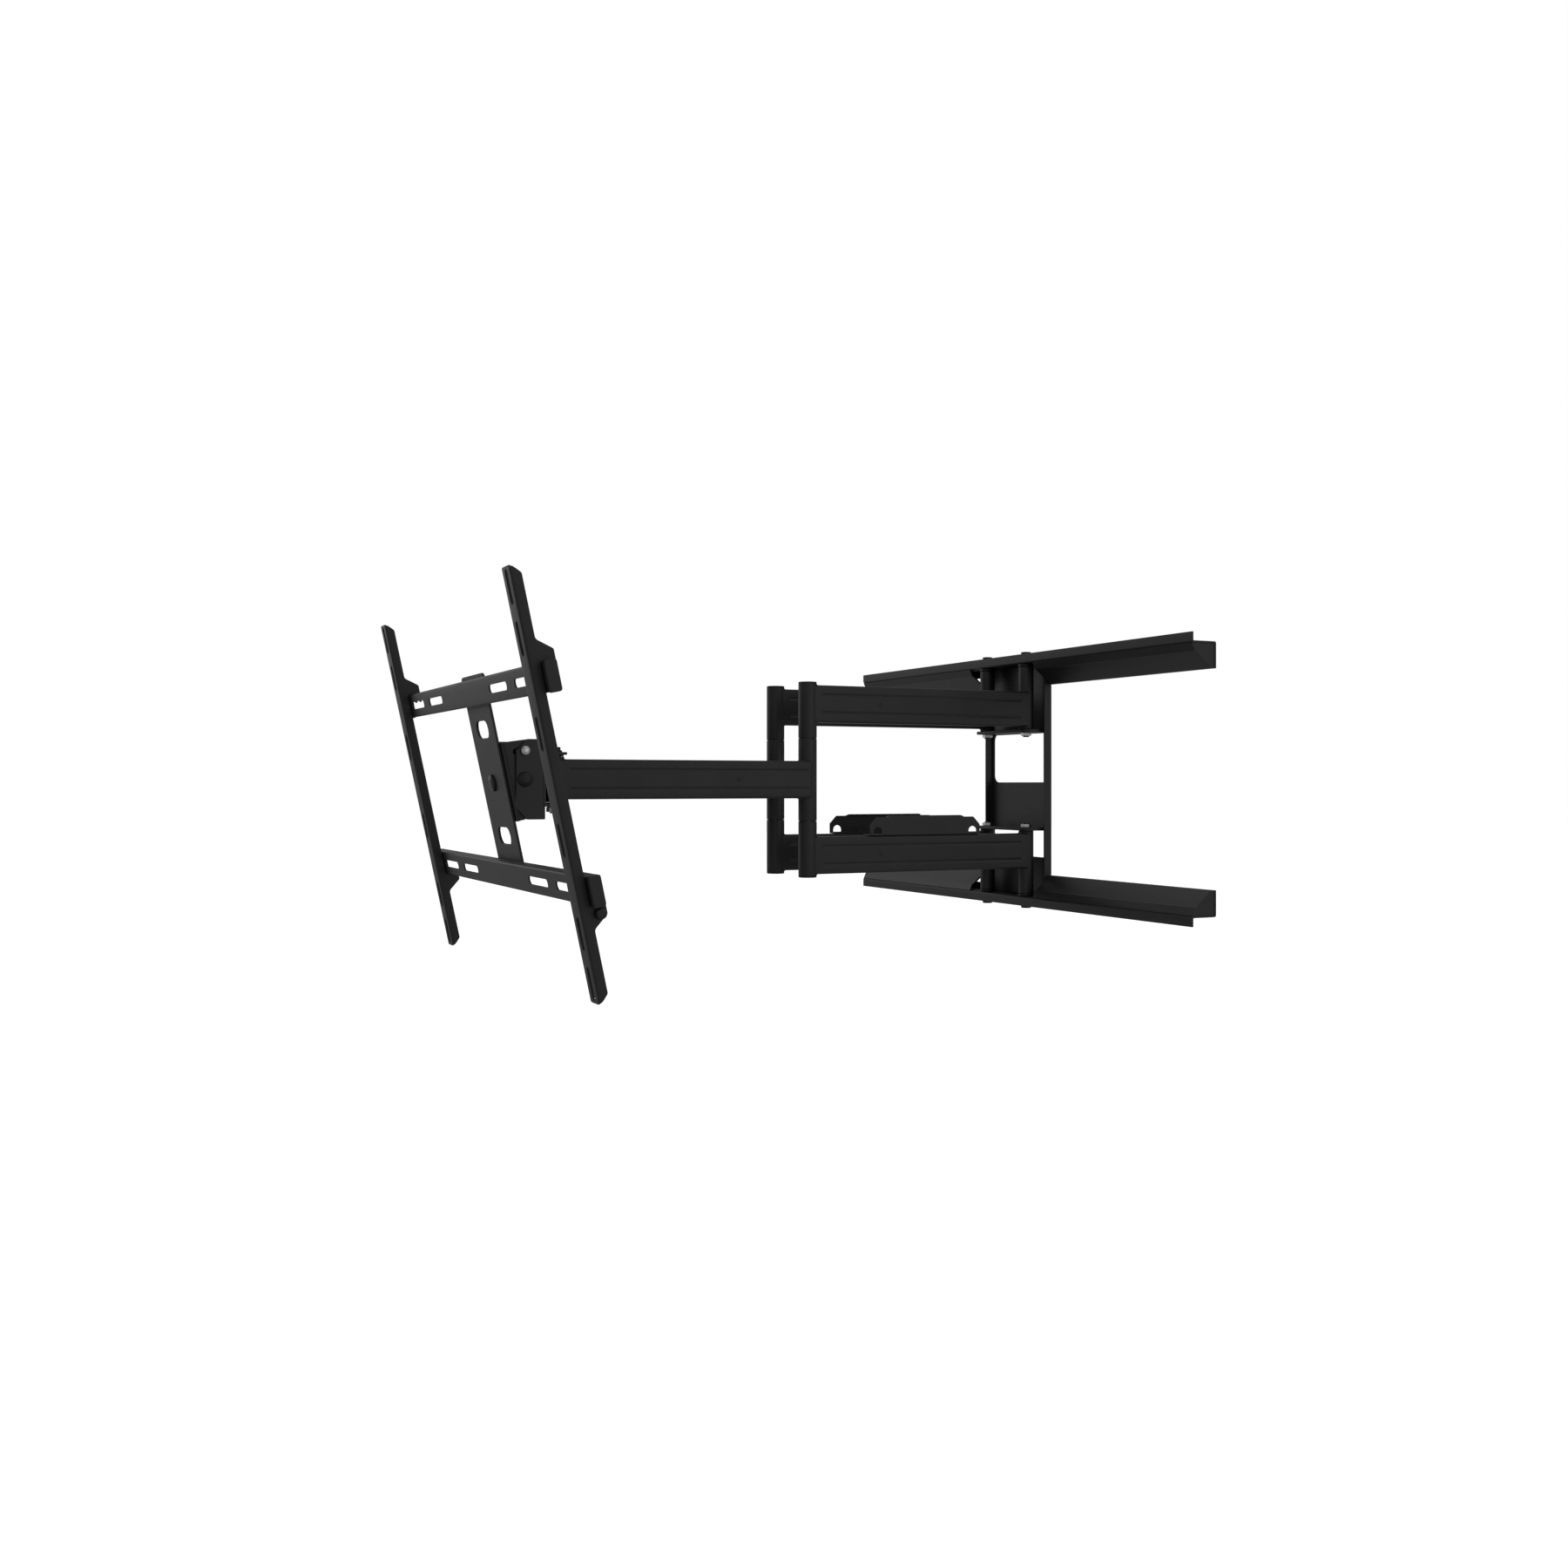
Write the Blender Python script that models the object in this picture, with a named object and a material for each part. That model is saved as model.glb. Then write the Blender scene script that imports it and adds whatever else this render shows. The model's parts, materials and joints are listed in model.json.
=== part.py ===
"""Full-motion wall mount for a flat screen: two folding arm pairs between a wall plate and a tilting head.

Metres, +Z up. The wall is the plane Y = 0 and the room is on the -Y side. The origin is the middle of the
solid band of the centre plate, on its wall side. Heights in the pieces below are counted from the mount's
middle, which is MIDDLE above the origin. At rest the arms are straight out and the head looks down.
"""

import math

import bmesh
import bpy
from mathutils import Vector

# Wall plate
MIDDLE = 0.034
GAP = 0.0003
SHEET = 0.0025
RAIL_LENGTH = 0.766
RAIL_DEPTH = 0.035
RAIL_EDGE = 0.1247
WEB = 0.1526
LIP_TOP = 0.165
PLATE_WIDTH = 0.1406
PLATE_FLANGE = 0.0122
WINDOW_WIDTH = 0.1274
UPPER_WINDOW = (-0.003, 0.0637)
LOWER_WINDOW = (-0.102, -0.065)
LAG_SLOTS = (-0.304, -0.1015, 0.1015, 0.304)
LAG_SLOT = (0.034, 0.009)
COVER_START = 0.075
COVER_WALL = 0.0016
# The cover's profile as (depth from the wall, height), from the lip to the rail's edge
COVER_PROFILE = ((0.0345, WEB - GAP), (0.0304, 0.1433), (0.0288, 0.1433), (0.0073, RAIL_EDGE))

# Wall hinges
HINGE_X = 0.046
HINGE_Y = -0.0244
EAR = (0.0625, 0.0665)
EAR_REACH = 0.0365
WASHER = 0.0033
WASHER_RADIUS = 0.0104
BOLT_RADIUS = 0.004
BOLT_TOP = 0.1682
BOLT_FLANGE = (0.0078, 0.0022)
BOLT_HEAD = 0.0065
SOCKET_ACROSS = 0.006
THREAD_BEYOND_NUT = 0.0015
NUT_HEIGHT = 0.0042
WALL_NUT_ACROSS = 0.012
WALL_BARREL_RADIUS = 0.0098

# Arms
ARM_LENGTH = 0.3211
ARM_WALL = 0.0018
REAR_ARM_WIDTH = 0.0192
REAR_ARM = (0.0700, 0.1158)
FOREARM_WIDTH = 0.0228
FOREARM_HALF = 0.0228
POST_RADIUS = 0.0113
POST_HALF = 0.1198
POST_CAP = 0.0018
SEAM = 0.0508
PIN_RADIUS = 0.006
ARM_CORNER = 0.0022
# Two shallow V grooves run along each side face, this far from its middle as a share of the height
GROOVE = (0.0046, 0.0007)
GROOVE_PLACE = 0.24
GROOVE_START = 0.016
SMALL_HOLE = (0.0022, 0.097)
SEAM_HALF = (0.0008, 0.0005)
POST_EDGE = 0.0006

# Cable guards on the lower rear arms
GUARD_LENGTH = 0.1605
GUARD_SHIFT = 0.0022
GUARD_HEIGHT = 0.0250
GUARD_SHEET = 0.0016
GUARD_RIM = 0.0055
GUARD_STEP = (0.0040, 0.0020)
GUARD_TAB = 0.0235
GUARD_CHAMFER = (0.0095, 0.0100)
TIE_HOLE = (0.0118, 0.0085)
TIE_HOLE_INSET = 0.0108

# Head
HEAD_BARREL_HALF = 0.026
HEAD_WASHER = 0.0012
HEAD_WASHER_RADIUS = 0.011
HEAD_NUT_ACROSS = 0.016
HEAD_PLATE = 0.003
HEAD_PIN_RADIUS = 0.005
HEAD_BOLT_HEAD = (0.009, 0.0055)
HEAD_NUT_HEIGHT = 0.006
YOKE_WIDTH = 0.126
YOKE_HALF = 0.045
YOKE_BACK = 0.0145
YOKE_TAIL = 0.013
TILT_FORWARD = 0.0385
TILT_NOSE = 0.010
REST_TILT = math.radians(12)
TILT_STOPS = (math.radians(-5.5), math.radians(15.5))
TILT_SLOT_RADIUS = 0.032
TILT_SLOT_WIDTH = 0.0068
TILT_PIN_RADIUS = 0.003

# Screen side. Distances named _OUT are counted from the tilt axis towards the screen.
TILT_PLATE_OUT = 0.0135
TILT_BRACKET_HALF_WIDTH = YOKE_WIDTH / 2 - HEAD_PLATE - 0.0007
LEVEL_PLATE_OUT = TILT_PLATE_OUT + HEAD_PLATE + GAP
LEVEL_PLATE = (0.100, 0.250)
CROSSBAR_OUT = LEVEL_PLATE_OUT + HEAD_PLATE + GAP
CROSSBAR_DEPTH = 0.012
CROSSBAR_LENGTH = 0.650
CROSSBAR = (0.090, 0.120)
CROSSBAR_SHEET = 0.002
CROSSBAR_SLOT = (0.070, 0.009)
CROSSBAR_SLOTS = (-0.245, -0.145, 0.145, 0.245)
BRACKET_X = 0.300
BRACKET_WIDTH = 0.028
BRACKET_HALF = 0.215
BRACKET_SHEET = 0.002
BRACKET_OUT = CROSSBAR_OUT + CROSSBAR_DEPTH + 0.0006
SCREEN_OUT = 0.0437
SCREW_SLOT = (0.0082, 0.034)
SCREW_SLOTS = (-0.195, -0.145, -0.0525, 0.0525, 0.145, 0.195)

FINE = 24
COARSE = 12
AXES = {
    "X": (Vector((0, 1, 0)), Vector((0, 0, 1)), Vector((1, 0, 0))),
    "Y": (Vector((1, 0, 0)), Vector((0, 0, 1)), Vector((0, 1, 0))),
    "Z": (Vector((1, 0, 0)), Vector((0, 1, 0)), Vector((0, 0, 1))),
}


# Outlines: lists of points in the plane that a prism is pushed out of


def circle(radius, centre=(0, 0), sides=FINE):
    step = 2 * math.pi / sides
    return arc(centre, radius, 0, 2 * math.pi - step, sides - 1)


def arc(centre, radius, start, end, steps):
    angles = [start + (end - start) * i / steps for i in range(steps + 1)]
    return [(centre[0] + radius * math.cos(a), centre[1] + radius * math.sin(a)) for a in angles]


def hexagon(across_flats, centre=(0, 0)):
    return circle(across_flats / math.sqrt(3), centre, 6)


def rectangle(x, y):
    return [(x[0], y[0]), (x[1], y[0]), (x[1], y[1]), (x[0], y[1])]


def rounded(x, y, radius, steps=3):
    quarter = math.pi / 2
    corners = [(x[1], y[1]), (x[0], y[1]), (x[0], y[0]), (x[1], y[0])]
    inset = [(-radius, -radius), (radius, -radius), (radius, radius), (-radius, radius)]
    points = []
    for turn, (corner, move) in enumerate(zip(corners, inset)):
        centre = (corner[0] + move[0], corner[1] + move[1])
        points += arc(centre, radius, turn * quarter, (turn + 1) * quarter, steps)
    return points


def slot(x, y, steps=3):
    """A slot that fills the rectangle x by y, with its ends as half circles."""
    radius = min(x[1] - x[0], y[1] - y[0]) / 2
    return without_repeats(rounded(x, y, radius, steps))


def without_repeats(points):
    kept = []
    for point in points:
        if not kept or math.dist(point, kept[-1]) > 1e-7:
            kept.append(point)
    if math.dist(kept[0], kept[-1]) < 1e-7:
        kept.pop()
    return kept


def flipped(points, level):
    """The outline with its second coordinate turned over for the lower half of the mount."""
    return [(a, level * b) for a, b in points]


def about(middle, size):
    return (middle - size / 2, middle + size / 2)


def span(level, low, high):
    """Two heights of the upper half, or of the lower half where level is -1, lowest first."""
    return tuple(sorted((level * low, level * high)))


# Solids


def prism(outline, along, axis):
    return outline, along, axis


def mesh_of(name, prisms):
    form = bmesh.new()
    for outline, along, axis in prisms:
        first, second, third = AXES[axis]
        ends = []
        for level in along:
            ends.append([form.verts.new(first * a + second * b + third * level) for a, b in outline])
        form.faces.new(ends[0])
        form.faces.new(ends[1])
        for i in range(len(outline)):
            j = (i + 1) % len(outline)
            form.faces.new((ends[0][i], ends[0][j], ends[1][j], ends[1][i]))
    bmesh.ops.recalc_face_normals(form, faces=form.faces)
    mesh = bpy.data.meshes.new(name)
    form.to_mesh(mesh)
    form.free()
    mesh.shade_smooth()
    mesh.set_sharp_from_angle(angle=math.radians(32))
    return mesh


def add_object(name, prisms, parent, location=(0, 0, 0)):
    thing = bpy.data.objects.new(name, mesh_of(name, prisms))
    bpy.context.scene.collection.objects.link(thing)
    thing.parent = parent
    thing.location = location
    return thing


def combine(thing, operation, prisms):
    helper = add_object(f"{thing.name}.{operation.lower()}.{len(thing.modifiers)}", prisms, thing)
    helper.hide_render = True
    helper.display_type = "WIRE"
    step = thing.modifiers.new(operation.title(), "BOOLEAN")
    step.operation = operation
    step.solver = "EXACT"
    step.object = helper


def piece(name, finish, parent, location, solids, cuts=()):
    """One closed body: the first solid joined with the others, then each group of cuts taken out of it."""
    thing = add_object(name, solids[:1], parent, location)
    thing.data.materials.append(finish)
    for solid in solids[1:]:
        combine(thing, "UNION", [solid])
    for group in cuts:
        combine(thing, "DIFFERENCE", group)
    return thing


def empty(name, parent, location, tilt=0):
    frame = bpy.data.objects.new(name, None)
    bpy.context.scene.collection.objects.link(frame)
    frame.parent = parent
    frame.location = location
    frame.rotation_euler.x = tilt
    return frame


def material(name, colour, roughness, metallic):
    finish = bpy.data.materials.new(name)
    finish.use_nodes = True
    shader = finish.node_tree.nodes["Principled BSDF"]
    shader.inputs["Base Color"].default_value = (*colour, 1)
    shader.inputs["Roughness"].default_value = roughness
    shader.inputs["Metallic"].default_value = metallic
    return finish


# Wall plate


def bolt_hole_pair(along):
    """Cutters for the wall hinges' two bolts."""
    places = [(side * HINGE_X, HINGE_Y) for side in (-1, 1)]
    return [prism(circle(BOLT_RADIUS + GAP, place, COARSE), along, "Z") for place in places]


def wall_rail(name, level, finish, parent):
    """Flange against the wall, web standing out from it, and a lip turned away from the middle."""
    section = [
        (0, RAIL_EDGE),
        (-SHEET, RAIL_EDGE),
        (-SHEET, WEB),
        (-RAIL_DEPTH, WEB),
        (-RAIL_DEPTH, LIP_TOP),
        (SHEET - RAIL_DEPTH, LIP_TOP),
        (SHEET - RAIL_DEPTH, WEB + SHEET),
        (0, WEB + SHEET),
    ]
    middle = (RAIL_EDGE + WEB) / 2
    wide, tall = LAG_SLOT
    lag_slots = [
        prism(slot(about(x, wide), about(level * middle, tall)), (-2 * SHEET, SHEET), "Y")
        for x in LAG_SLOTS
    ]
    bolt_holes = bolt_hole_pair(span(level, WEB - SHEET, WEB + 2 * SHEET))
    rail = prism(flipped(section, level), about(0, RAIL_LENGTH), "X")
    return piece(name, finish, parent, (0, 0, 0), [rail], [lag_slots + bolt_holes])


def rail_cover(name, side, level, finish, parent):
    """A trim shell from the lip to the rail's edge, closed at its outer end and open beside the hinge."""
    back = SHEET + GAP
    outer = [(-depth, height) for depth, height in COVER_PROFILE] + [(-back, RAIL_EDGE), (-back, WEB - GAP)]
    inner = [(COVER_WALL - depth, height + COVER_WALL) for depth, height in COVER_PROFILE]
    inner += [(0, RAIL_EDGE + COVER_WALL), (0, WEB + COVER_WALL)]
    ends = span(side, COVER_START, RAIL_LENGTH / 2)
    hollow = span(side, COVER_START - COVER_WALL, RAIL_LENGTH / 2 - COVER_WALL)
    shell = prism(flipped(outer, level), ends, "X")
    return piece(name, finish, parent, (0, 0, 0), [shell], [[prism(flipped(inner, level), hollow, "X")]])


def centre_plate(finish, parent):
    """Plate between the rails, with side flanges. Past the hinge ears it is thicker and laps the rails."""
    half = RAIL_EDGE - GAP
    end = WEB - GAP
    front = -2 * SHEET - GAP
    width = about(0, PLATE_WIDTH)
    solids = [prism(rectangle(width, (-half, half)), (-SHEET, 0), "Y")]
    side_outline = [
        (0, -half),
        (-SHEET - GAP, -half),
        (-SHEET - GAP, -end),
        (-PLATE_FLANGE, -end),
        (-PLATE_FLANGE, end),
        (-SHEET - GAP, end),
        (-SHEET - GAP, half),
        (0, half),
    ]
    for side in (-1, 1):
        solids.append(prism(side_outline, span(side, PLATE_WIDTH / 2 - SHEET, PLATE_WIDTH / 2), "X"))
    inside = about(0, PLATE_WIDTH - 2 * SHEET + 0.001)
    foot = EAR[1] + GAP
    step = [(-SHEET / 2, foot), (-SHEET / 2, half), (-SHEET - GAP, half), (-SHEET - GAP, end)]
    step += [(front, end), (front, foot)]
    for level in (-1, 1):
        solids.append(prism(flipped(step, level), inside, "X"))
    through = (front - SHEET, SHEET)
    windows = [
        prism(rounded(about(0, WINDOW_WIDTH), UPPER_WINDOW, 0.010), through, "Y"),
        prism(rounded(about(0, WINDOW_WIDTH), LOWER_WINDOW, 0.005), through, "Y"),
    ]
    return piece("centre_plate", finish, parent, (0, 0, 0), solids, [windows])


def hinge_ear(name, level, finish, parent):
    radius = 0.012
    half = HINGE_X + 0.0165
    outline = [(half, -SHEET - GAP), (-half, -SHEET - GAP)]
    outline += arc((radius - half, radius - EAR_REACH), radius, math.pi, 1.5 * math.pi, 6)
    outline += arc((half - radius, radius - EAR_REACH), radius, 1.5 * math.pi, 2 * math.pi, 6)
    holes = bolt_hole_pair(span(level, EAR[0] - SHEET, EAR[1] + SHEET))
    return piece(name, finish, parent, (0, 0, 0), [prism(outline, span(level, *EAR), "Z")], [holes])


def wall_bolt(name, level, finish, parent, location):
    """Cap-head bolt through web, washer, barrel and ear, with its end just past the nut."""
    seat = WEB + SHEET + GAP
    flange_radius, flange_height = BOLT_FLANGE
    flange = seat + flange_height
    tip = EAR[0] - GAP - NUT_HEIGHT - THREAD_BEYOND_NUT
    solids = [
        prism(circle(BOLT_RADIUS, sides=COARSE), span(level, tip, BOLT_TOP - 0.002), "Z"),
        prism(circle(flange_radius, sides=COARSE), span(level, seat, flange), "Z"),
        prism(circle(BOLT_HEAD, sides=COARSE), span(level, flange - 0.0004, BOLT_TOP), "Z"),
    ]
    socket = prism(hexagon(SOCKET_ACROSS), span(level, BOLT_TOP - 0.005, BOLT_TOP + 0.001), "Z")
    return piece(name, finish, parent, location, solids, [[socket]])


def ring(name, finish, parent, location, outline, hole_radius, along):
    hole = prism(circle(hole_radius, sides=COARSE), (along[0] - 0.001, along[1] + 0.001), "Z")
    return piece(name, finish, parent, location, [prism(outline, along, "Z")], [[hole]])


# Arms


def beam(width, heights, length, corner):
    return prism(rounded(about(0, width), heights, corner, 2), (-length, 0), "Y")


def grooves(heights, half_width, ends):
    """Cutters for the two grooves in each side face of an arm."""
    middle = (heights[0] + heights[1]) / 2
    reach = GROOVE_PLACE * (heights[1] - heights[0])
    wide, deep = GROOVE
    cuts = []
    for side in (-1, 1):
        for height in (middle - reach, middle + reach):
            bottom = side * (half_width - deep)
            mouth = side * (half_width + deep)
            outline = [(bottom, height), (mouth, height - wide), (mouth, height + wide)]
            cuts.append(prism(outline, ends, "Y"))
    return cuts


def rear_arm(name, side, level, finish, parent, location):
    """Rectangular tube from the wall barrel to one on the elbow post. Its origin is on the wall hinge."""
    heights = span(level, *REAR_ARM)
    tall = REAR_ARM[1] - REAR_ARM[0]
    barrel_low = EAR[1] + GAP
    barrel_high = WEB - GAP - WASHER - GAP
    elbow = (0, -ARM_LENGTH)
    post_end = POST_HALF - POST_CAP - GAP
    solids = [
        beam(REAR_ARM_WIDTH, heights, ARM_LENGTH, ARM_CORNER),
        prism(circle(WALL_BARREL_RADIUS), span(level, barrel_low, barrel_high), "Z"),
        prism(circle(POST_RADIUS, elbow), span(level, SEAM + SEAM_HALF[1], post_end), "Z"),
    ]
    inside = REAR_ARM_WIDTH - 2 * ARM_WALL
    hollow = prism(
        rectangle(about(0, inside), (heights[0] + ARM_WALL, heights[1] - ARM_WALL)),
        (0.014 - ARM_LENGTH, -0.0125),
        "Y",
    )
    barrel_through = span(level, barrel_low - 0.001, barrel_high + 0.001)
    bores = [
        prism(circle(BOLT_RADIUS + GAP, sides=COARSE), barrel_through, "Z"),
        prism(circle(PIN_RADIUS + GAP, elbow, COARSE), span(level, SEAM - 0.001, POST_HALF), "Z"),
    ]
    face = REAR_ARM_WIDTH / 2
    lines = grooves(heights, face, (GROOVE_START - ARM_LENGTH, -0.014))
    radius, from_post = SMALL_HOLE
    hole_place = (from_post - ARM_LENGTH, level * (REAR_ARM[0] + tall / 2))
    hole = prism(circle(radius, hole_place, COARSE), span(side, face - 2 * ARM_WALL, face + 0.001), "X")
    return piece(name, finish, parent, location, solids, [[hollow], bores, lines, [hole]])


def forearm(name, side, finish, parent, location):
    """Rectangular tube from the middle of the elbow post to the head. Its origin is on the post."""
    front = (0, -ARM_LENGTH)
    solids = [
        beam(FOREARM_WIDTH, (-FOREARM_HALF, FOREARM_HALF), ARM_LENGTH, ARM_CORNER),
        prism(circle(POST_RADIUS), about(0, 2 * (SEAM - SEAM_HALF[0])), "Z"),
        prism(circle(POST_RADIUS, front), about(0, 2 * HEAD_BARREL_HALF), "Z"),
    ]
    inside = FOREARM_WIDTH / 2 - ARM_WALL
    heights = about(0, 2 * (FOREARM_HALF - ARM_WALL))
    hollow = prism(rectangle((-inside, inside), heights), (0.014 - ARM_LENGTH, -0.014), "Y")
    bores = [
        prism(circle(PIN_RADIUS + GAP, sides=COARSE), (-SEAM - 0.001, SEAM + 0.001), "Z"),
        prism(circle(HEAD_PIN_RADIUS + GAP, front, COARSE), about(0, 2 * HEAD_BARREL_HALF + 0.002), "Z"),
    ]
    face = FOREARM_WIDTH / 2
    lines = grooves((-FOREARM_HALF, FOREARM_HALF), face, (GROOVE_START - ARM_LENGTH, -0.0035))
    radius, from_post = SMALL_HOLE
    hole = prism(circle(radius, (-from_post, 0), COARSE), span(side, face - 2 * ARM_WALL, face + 0.001), "X")
    return piece(name, finish, parent, location, solids, [[hollow], bores, lines, [hole]])


def elbow_pieces(side_name, finishes, parent, location):
    """The pin through the three barrels of one elbow post, a cap on each end and a washer in each seam."""
    cap_low = POST_HALF - POST_CAP
    pin_half = cap_low - 2 * GAP
    pin = prism(circle(PIN_RADIUS, sides=COARSE), (-pin_half, pin_half), "Z")
    piece(f"{side_name}_elbow_pin", finishes["zinc"], parent, location, [pin])
    for level_name, level in (("upper", 1), ("lower", -1)):
        cap = [
            prism(circle(POST_RADIUS - POST_EDGE), span(level, cap_low, POST_HALF), "Z"),
            prism(circle(POST_RADIUS), span(level, cap_low, POST_HALF - POST_EDGE), "Z"),
        ]
        piece(f"{side_name}_{level_name}_post_cap", finishes["plastic"], parent, location, cap)
        seam = span(level, SEAM - SEAM_HALF[0] + GAP, SEAM + SEAM_HALF[1] - GAP)
        name = f"{side_name}_{level_name}_elbow_washer"
        ring(name, finishes["nylon"], parent, location, circle(POST_RADIUS - GAP), PIN_RADIUS + GAP, seam)


def cable_guard(name, side, finish, parent, location):
    """Strip on a lower rear arm. The wall folds in over the cables and has a tab with a hole at each end."""
    top = -REAR_ARM[0]
    middle = GUARD_SHIFT - ARM_LENGTH / 2
    low = top + GAP
    high = top + GUARD_HEIGHT
    ends = about(middle, GUARD_LENGTH)
    cut_y, cut_z = GUARD_CHAMFER
    run, rise = GUARD_STEP
    tab = high - rise
    half_wall = [
        (GUARD_LENGTH / 2, low),
        (GUARD_LENGTH / 2, tab - cut_z),
        (GUARD_LENGTH / 2 - cut_y, tab),
        (GUARD_LENGTH / 2 - GUARD_TAB, tab),
        (GUARD_LENGTH / 2 - GUARD_TAB - run, high),
    ]
    wall = [(middle + y, z) for y, z in half_wall] + [(middle - y, z) for y, z in reversed(half_wall)]
    rim = about(middle, GUARD_LENGTH - 2 * (GUARD_TAB + run))
    face = REAR_ARM_WIDTH / 2
    solids = [
        prism(wall, span(side, face - GUARD_SHEET, face), "X"),
        prism(rectangle(span(side, -face + 0.002, face - 0.0004), ends), (low, low + GUARD_SHEET), "Z"),
        prism(rectangle(span(side, face - GUARD_RIM, face - 0.0004), rim), (high - GUARD_SHEET, high), "Z"),
    ]
    wide, tall = TIE_HOLE
    holes = []
    for end in (ends[0] + TIE_HOLE_INSET, ends[1] - TIE_HOLE_INSET):
        base = low + GUARD_SHEET + 0.0004
        outline = [(end + wide / 2, base)]
        outline += arc((end, base + tall - wide / 2), wide / 2, 0, math.pi, 10)
        outline += [(end - wide / 2, base)]
        holes.append(prism(outline, span(side, face - 2 * GUARD_SHEET, face + 0.001), "X"))
    return piece(name, finish, parent, location, solids, [holes])


# Head


def head_yoke(finish, parent, location):
    """Channel that joins both forearms, with two cheeks for the tilt axis. Its origin is on the pin line."""
    half = YOKE_WIDTH / 2
    ear_low = HEAD_BARREL_HALF + GAP + HEAD_WASHER + GAP
    back = (-YOKE_BACK - HEAD_PLATE, -YOKE_BACK)
    radius = 0.011
    ear = [(half, back[0] + 0.0004), (half, YOKE_TAIL - radius)]
    ear += arc((half - radius, YOKE_TAIL - radius), radius, 0, math.pi / 2, 5)[1:]
    ear += arc((radius - half, YOKE_TAIL - radius), radius, math.pi / 2, math.pi, 5)
    ear += [(-half, back[0] + 0.0004)]
    nose = -TILT_FORWARD - TILT_NOSE
    cheek = [
        (back[1] - 0.0004, -YOKE_HALF),
        (back[1] - 0.0004, YOKE_HALF),
        (nose + 0.012, YOKE_HALF),
        (nose, YOKE_HALF - 0.014),
        (nose, 0.014 - YOKE_HALF),
        (nose + 0.012, -YOKE_HALF),
    ]
    solids = [prism(rounded((-half, half), (-YOKE_HALF, YOKE_HALF), 0.003, 2), back, "Y")]
    for level in (-1, 1):
        solids.append(prism(ear, span(level, ear_low, ear_low + HEAD_PLATE), "Z"))
    for side in (-1, 1):
        solids.append(prism(cheek, span(side, half - HEAD_PLATE, half - 0.0002), "X"))
    ear_high = ear_low + HEAD_PLATE
    pin_hole = circle(HEAD_PIN_RADIUS + GAP, sides=COARSE)
    pin_holes = []
    for side in (-1, 1):
        outline = [(side * HINGE_X + a, b) for a, b in pin_hole]
        for level in (-1, 1):
            pin_holes.append(prism(outline, span(level, ear_low - 0.001, ear_high + 0.001), "Z"))
    tilt_holes = [
        prism(circle(radius + GAP, place, COARSE), span(side, half - 2 * HEAD_PLATE, half + 0.001), "X")
        for side in (-1, 1)
        for radius, place in (
            (BOLT_RADIUS, (-TILT_FORWARD, 0)),
            (TILT_PIN_RADIUS, (-TILT_FORWARD, TILT_SLOT_RADIUS)),
        )
    ]
    window = prism(rounded((-0.022, 0.022), (-0.016, 0.016), 0.006), (back[0] - 0.001, back[1] + 0.001), "Y")
    return piece("head_yoke", finish, parent, location, solids, [pin_holes, tilt_holes, [window]])


def head_hinge(side_name, finishes, parent, location):
    """Bolt, nut and two washers that hold one forearm in the yoke."""
    washer_low = HEAD_BARREL_HALF + GAP
    seat = washer_low + HEAD_WASHER + GAP + HEAD_PLATE + GAP
    tip = -seat - HEAD_NUT_HEIGHT - THREAD_BEYOND_NUT
    head_radius, head_height = HEAD_BOLT_HEAD
    bolt = [
        prism(circle(HEAD_PIN_RADIUS, sides=COARSE), (tip, seat + 0.003), "Z"),
        prism(circle(head_radius, sides=COARSE), (seat, seat + head_height), "Z"),
    ]
    socket = prism(hexagon(SOCKET_ACROSS), (seat + 0.002, seat + head_height + 0.001), "Z")
    piece(f"{side_name}_head_bolt", finishes["dark_bolt"], parent, location, bolt, [[socket]])
    nut = (-seat - HEAD_NUT_HEIGHT, -seat)
    hole = HEAD_PIN_RADIUS + GAP
    ring(f"{side_name}_head_nut", finishes["zinc"], parent, location, hexagon(HEAD_NUT_ACROSS), hole, nut)
    for level_name, level in (("upper", 1), ("lower", -1)):
        along = span(level, washer_low, washer_low + HEAD_WASHER)
        name = f"{side_name}_{level_name}_head_washer"
        ring(name, finishes["nylon"], parent, location, circle(HEAD_WASHER_RADIUS), hole, along)


def tilt_rivet(name, side, radius, head_radius, finish, parent, location):
    """Headed pin through a yoke cheek and the tilt bracket's cheek inside it."""
    outside = YOKE_WIDTH / 2 + GAP
    inside = TILT_BRACKET_HALF_WIDTH - HEAD_PLATE - GAP
    solids = [
        prism(circle(radius, sides=COARSE), span(side, inside - 0.003, outside + 0.002), "X"),
        prism(circle(head_radius, sides=COARSE), span(side, outside, outside + 0.0045), "X"),
        prism(circle(radius + 0.0025, sides=COARSE), span(side, inside - 0.004, inside), "X"),
    ]
    return piece(name, finish, parent, location, solids)


# Screen side, in the frame of the tilt axis: -Y points to the screen


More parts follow.
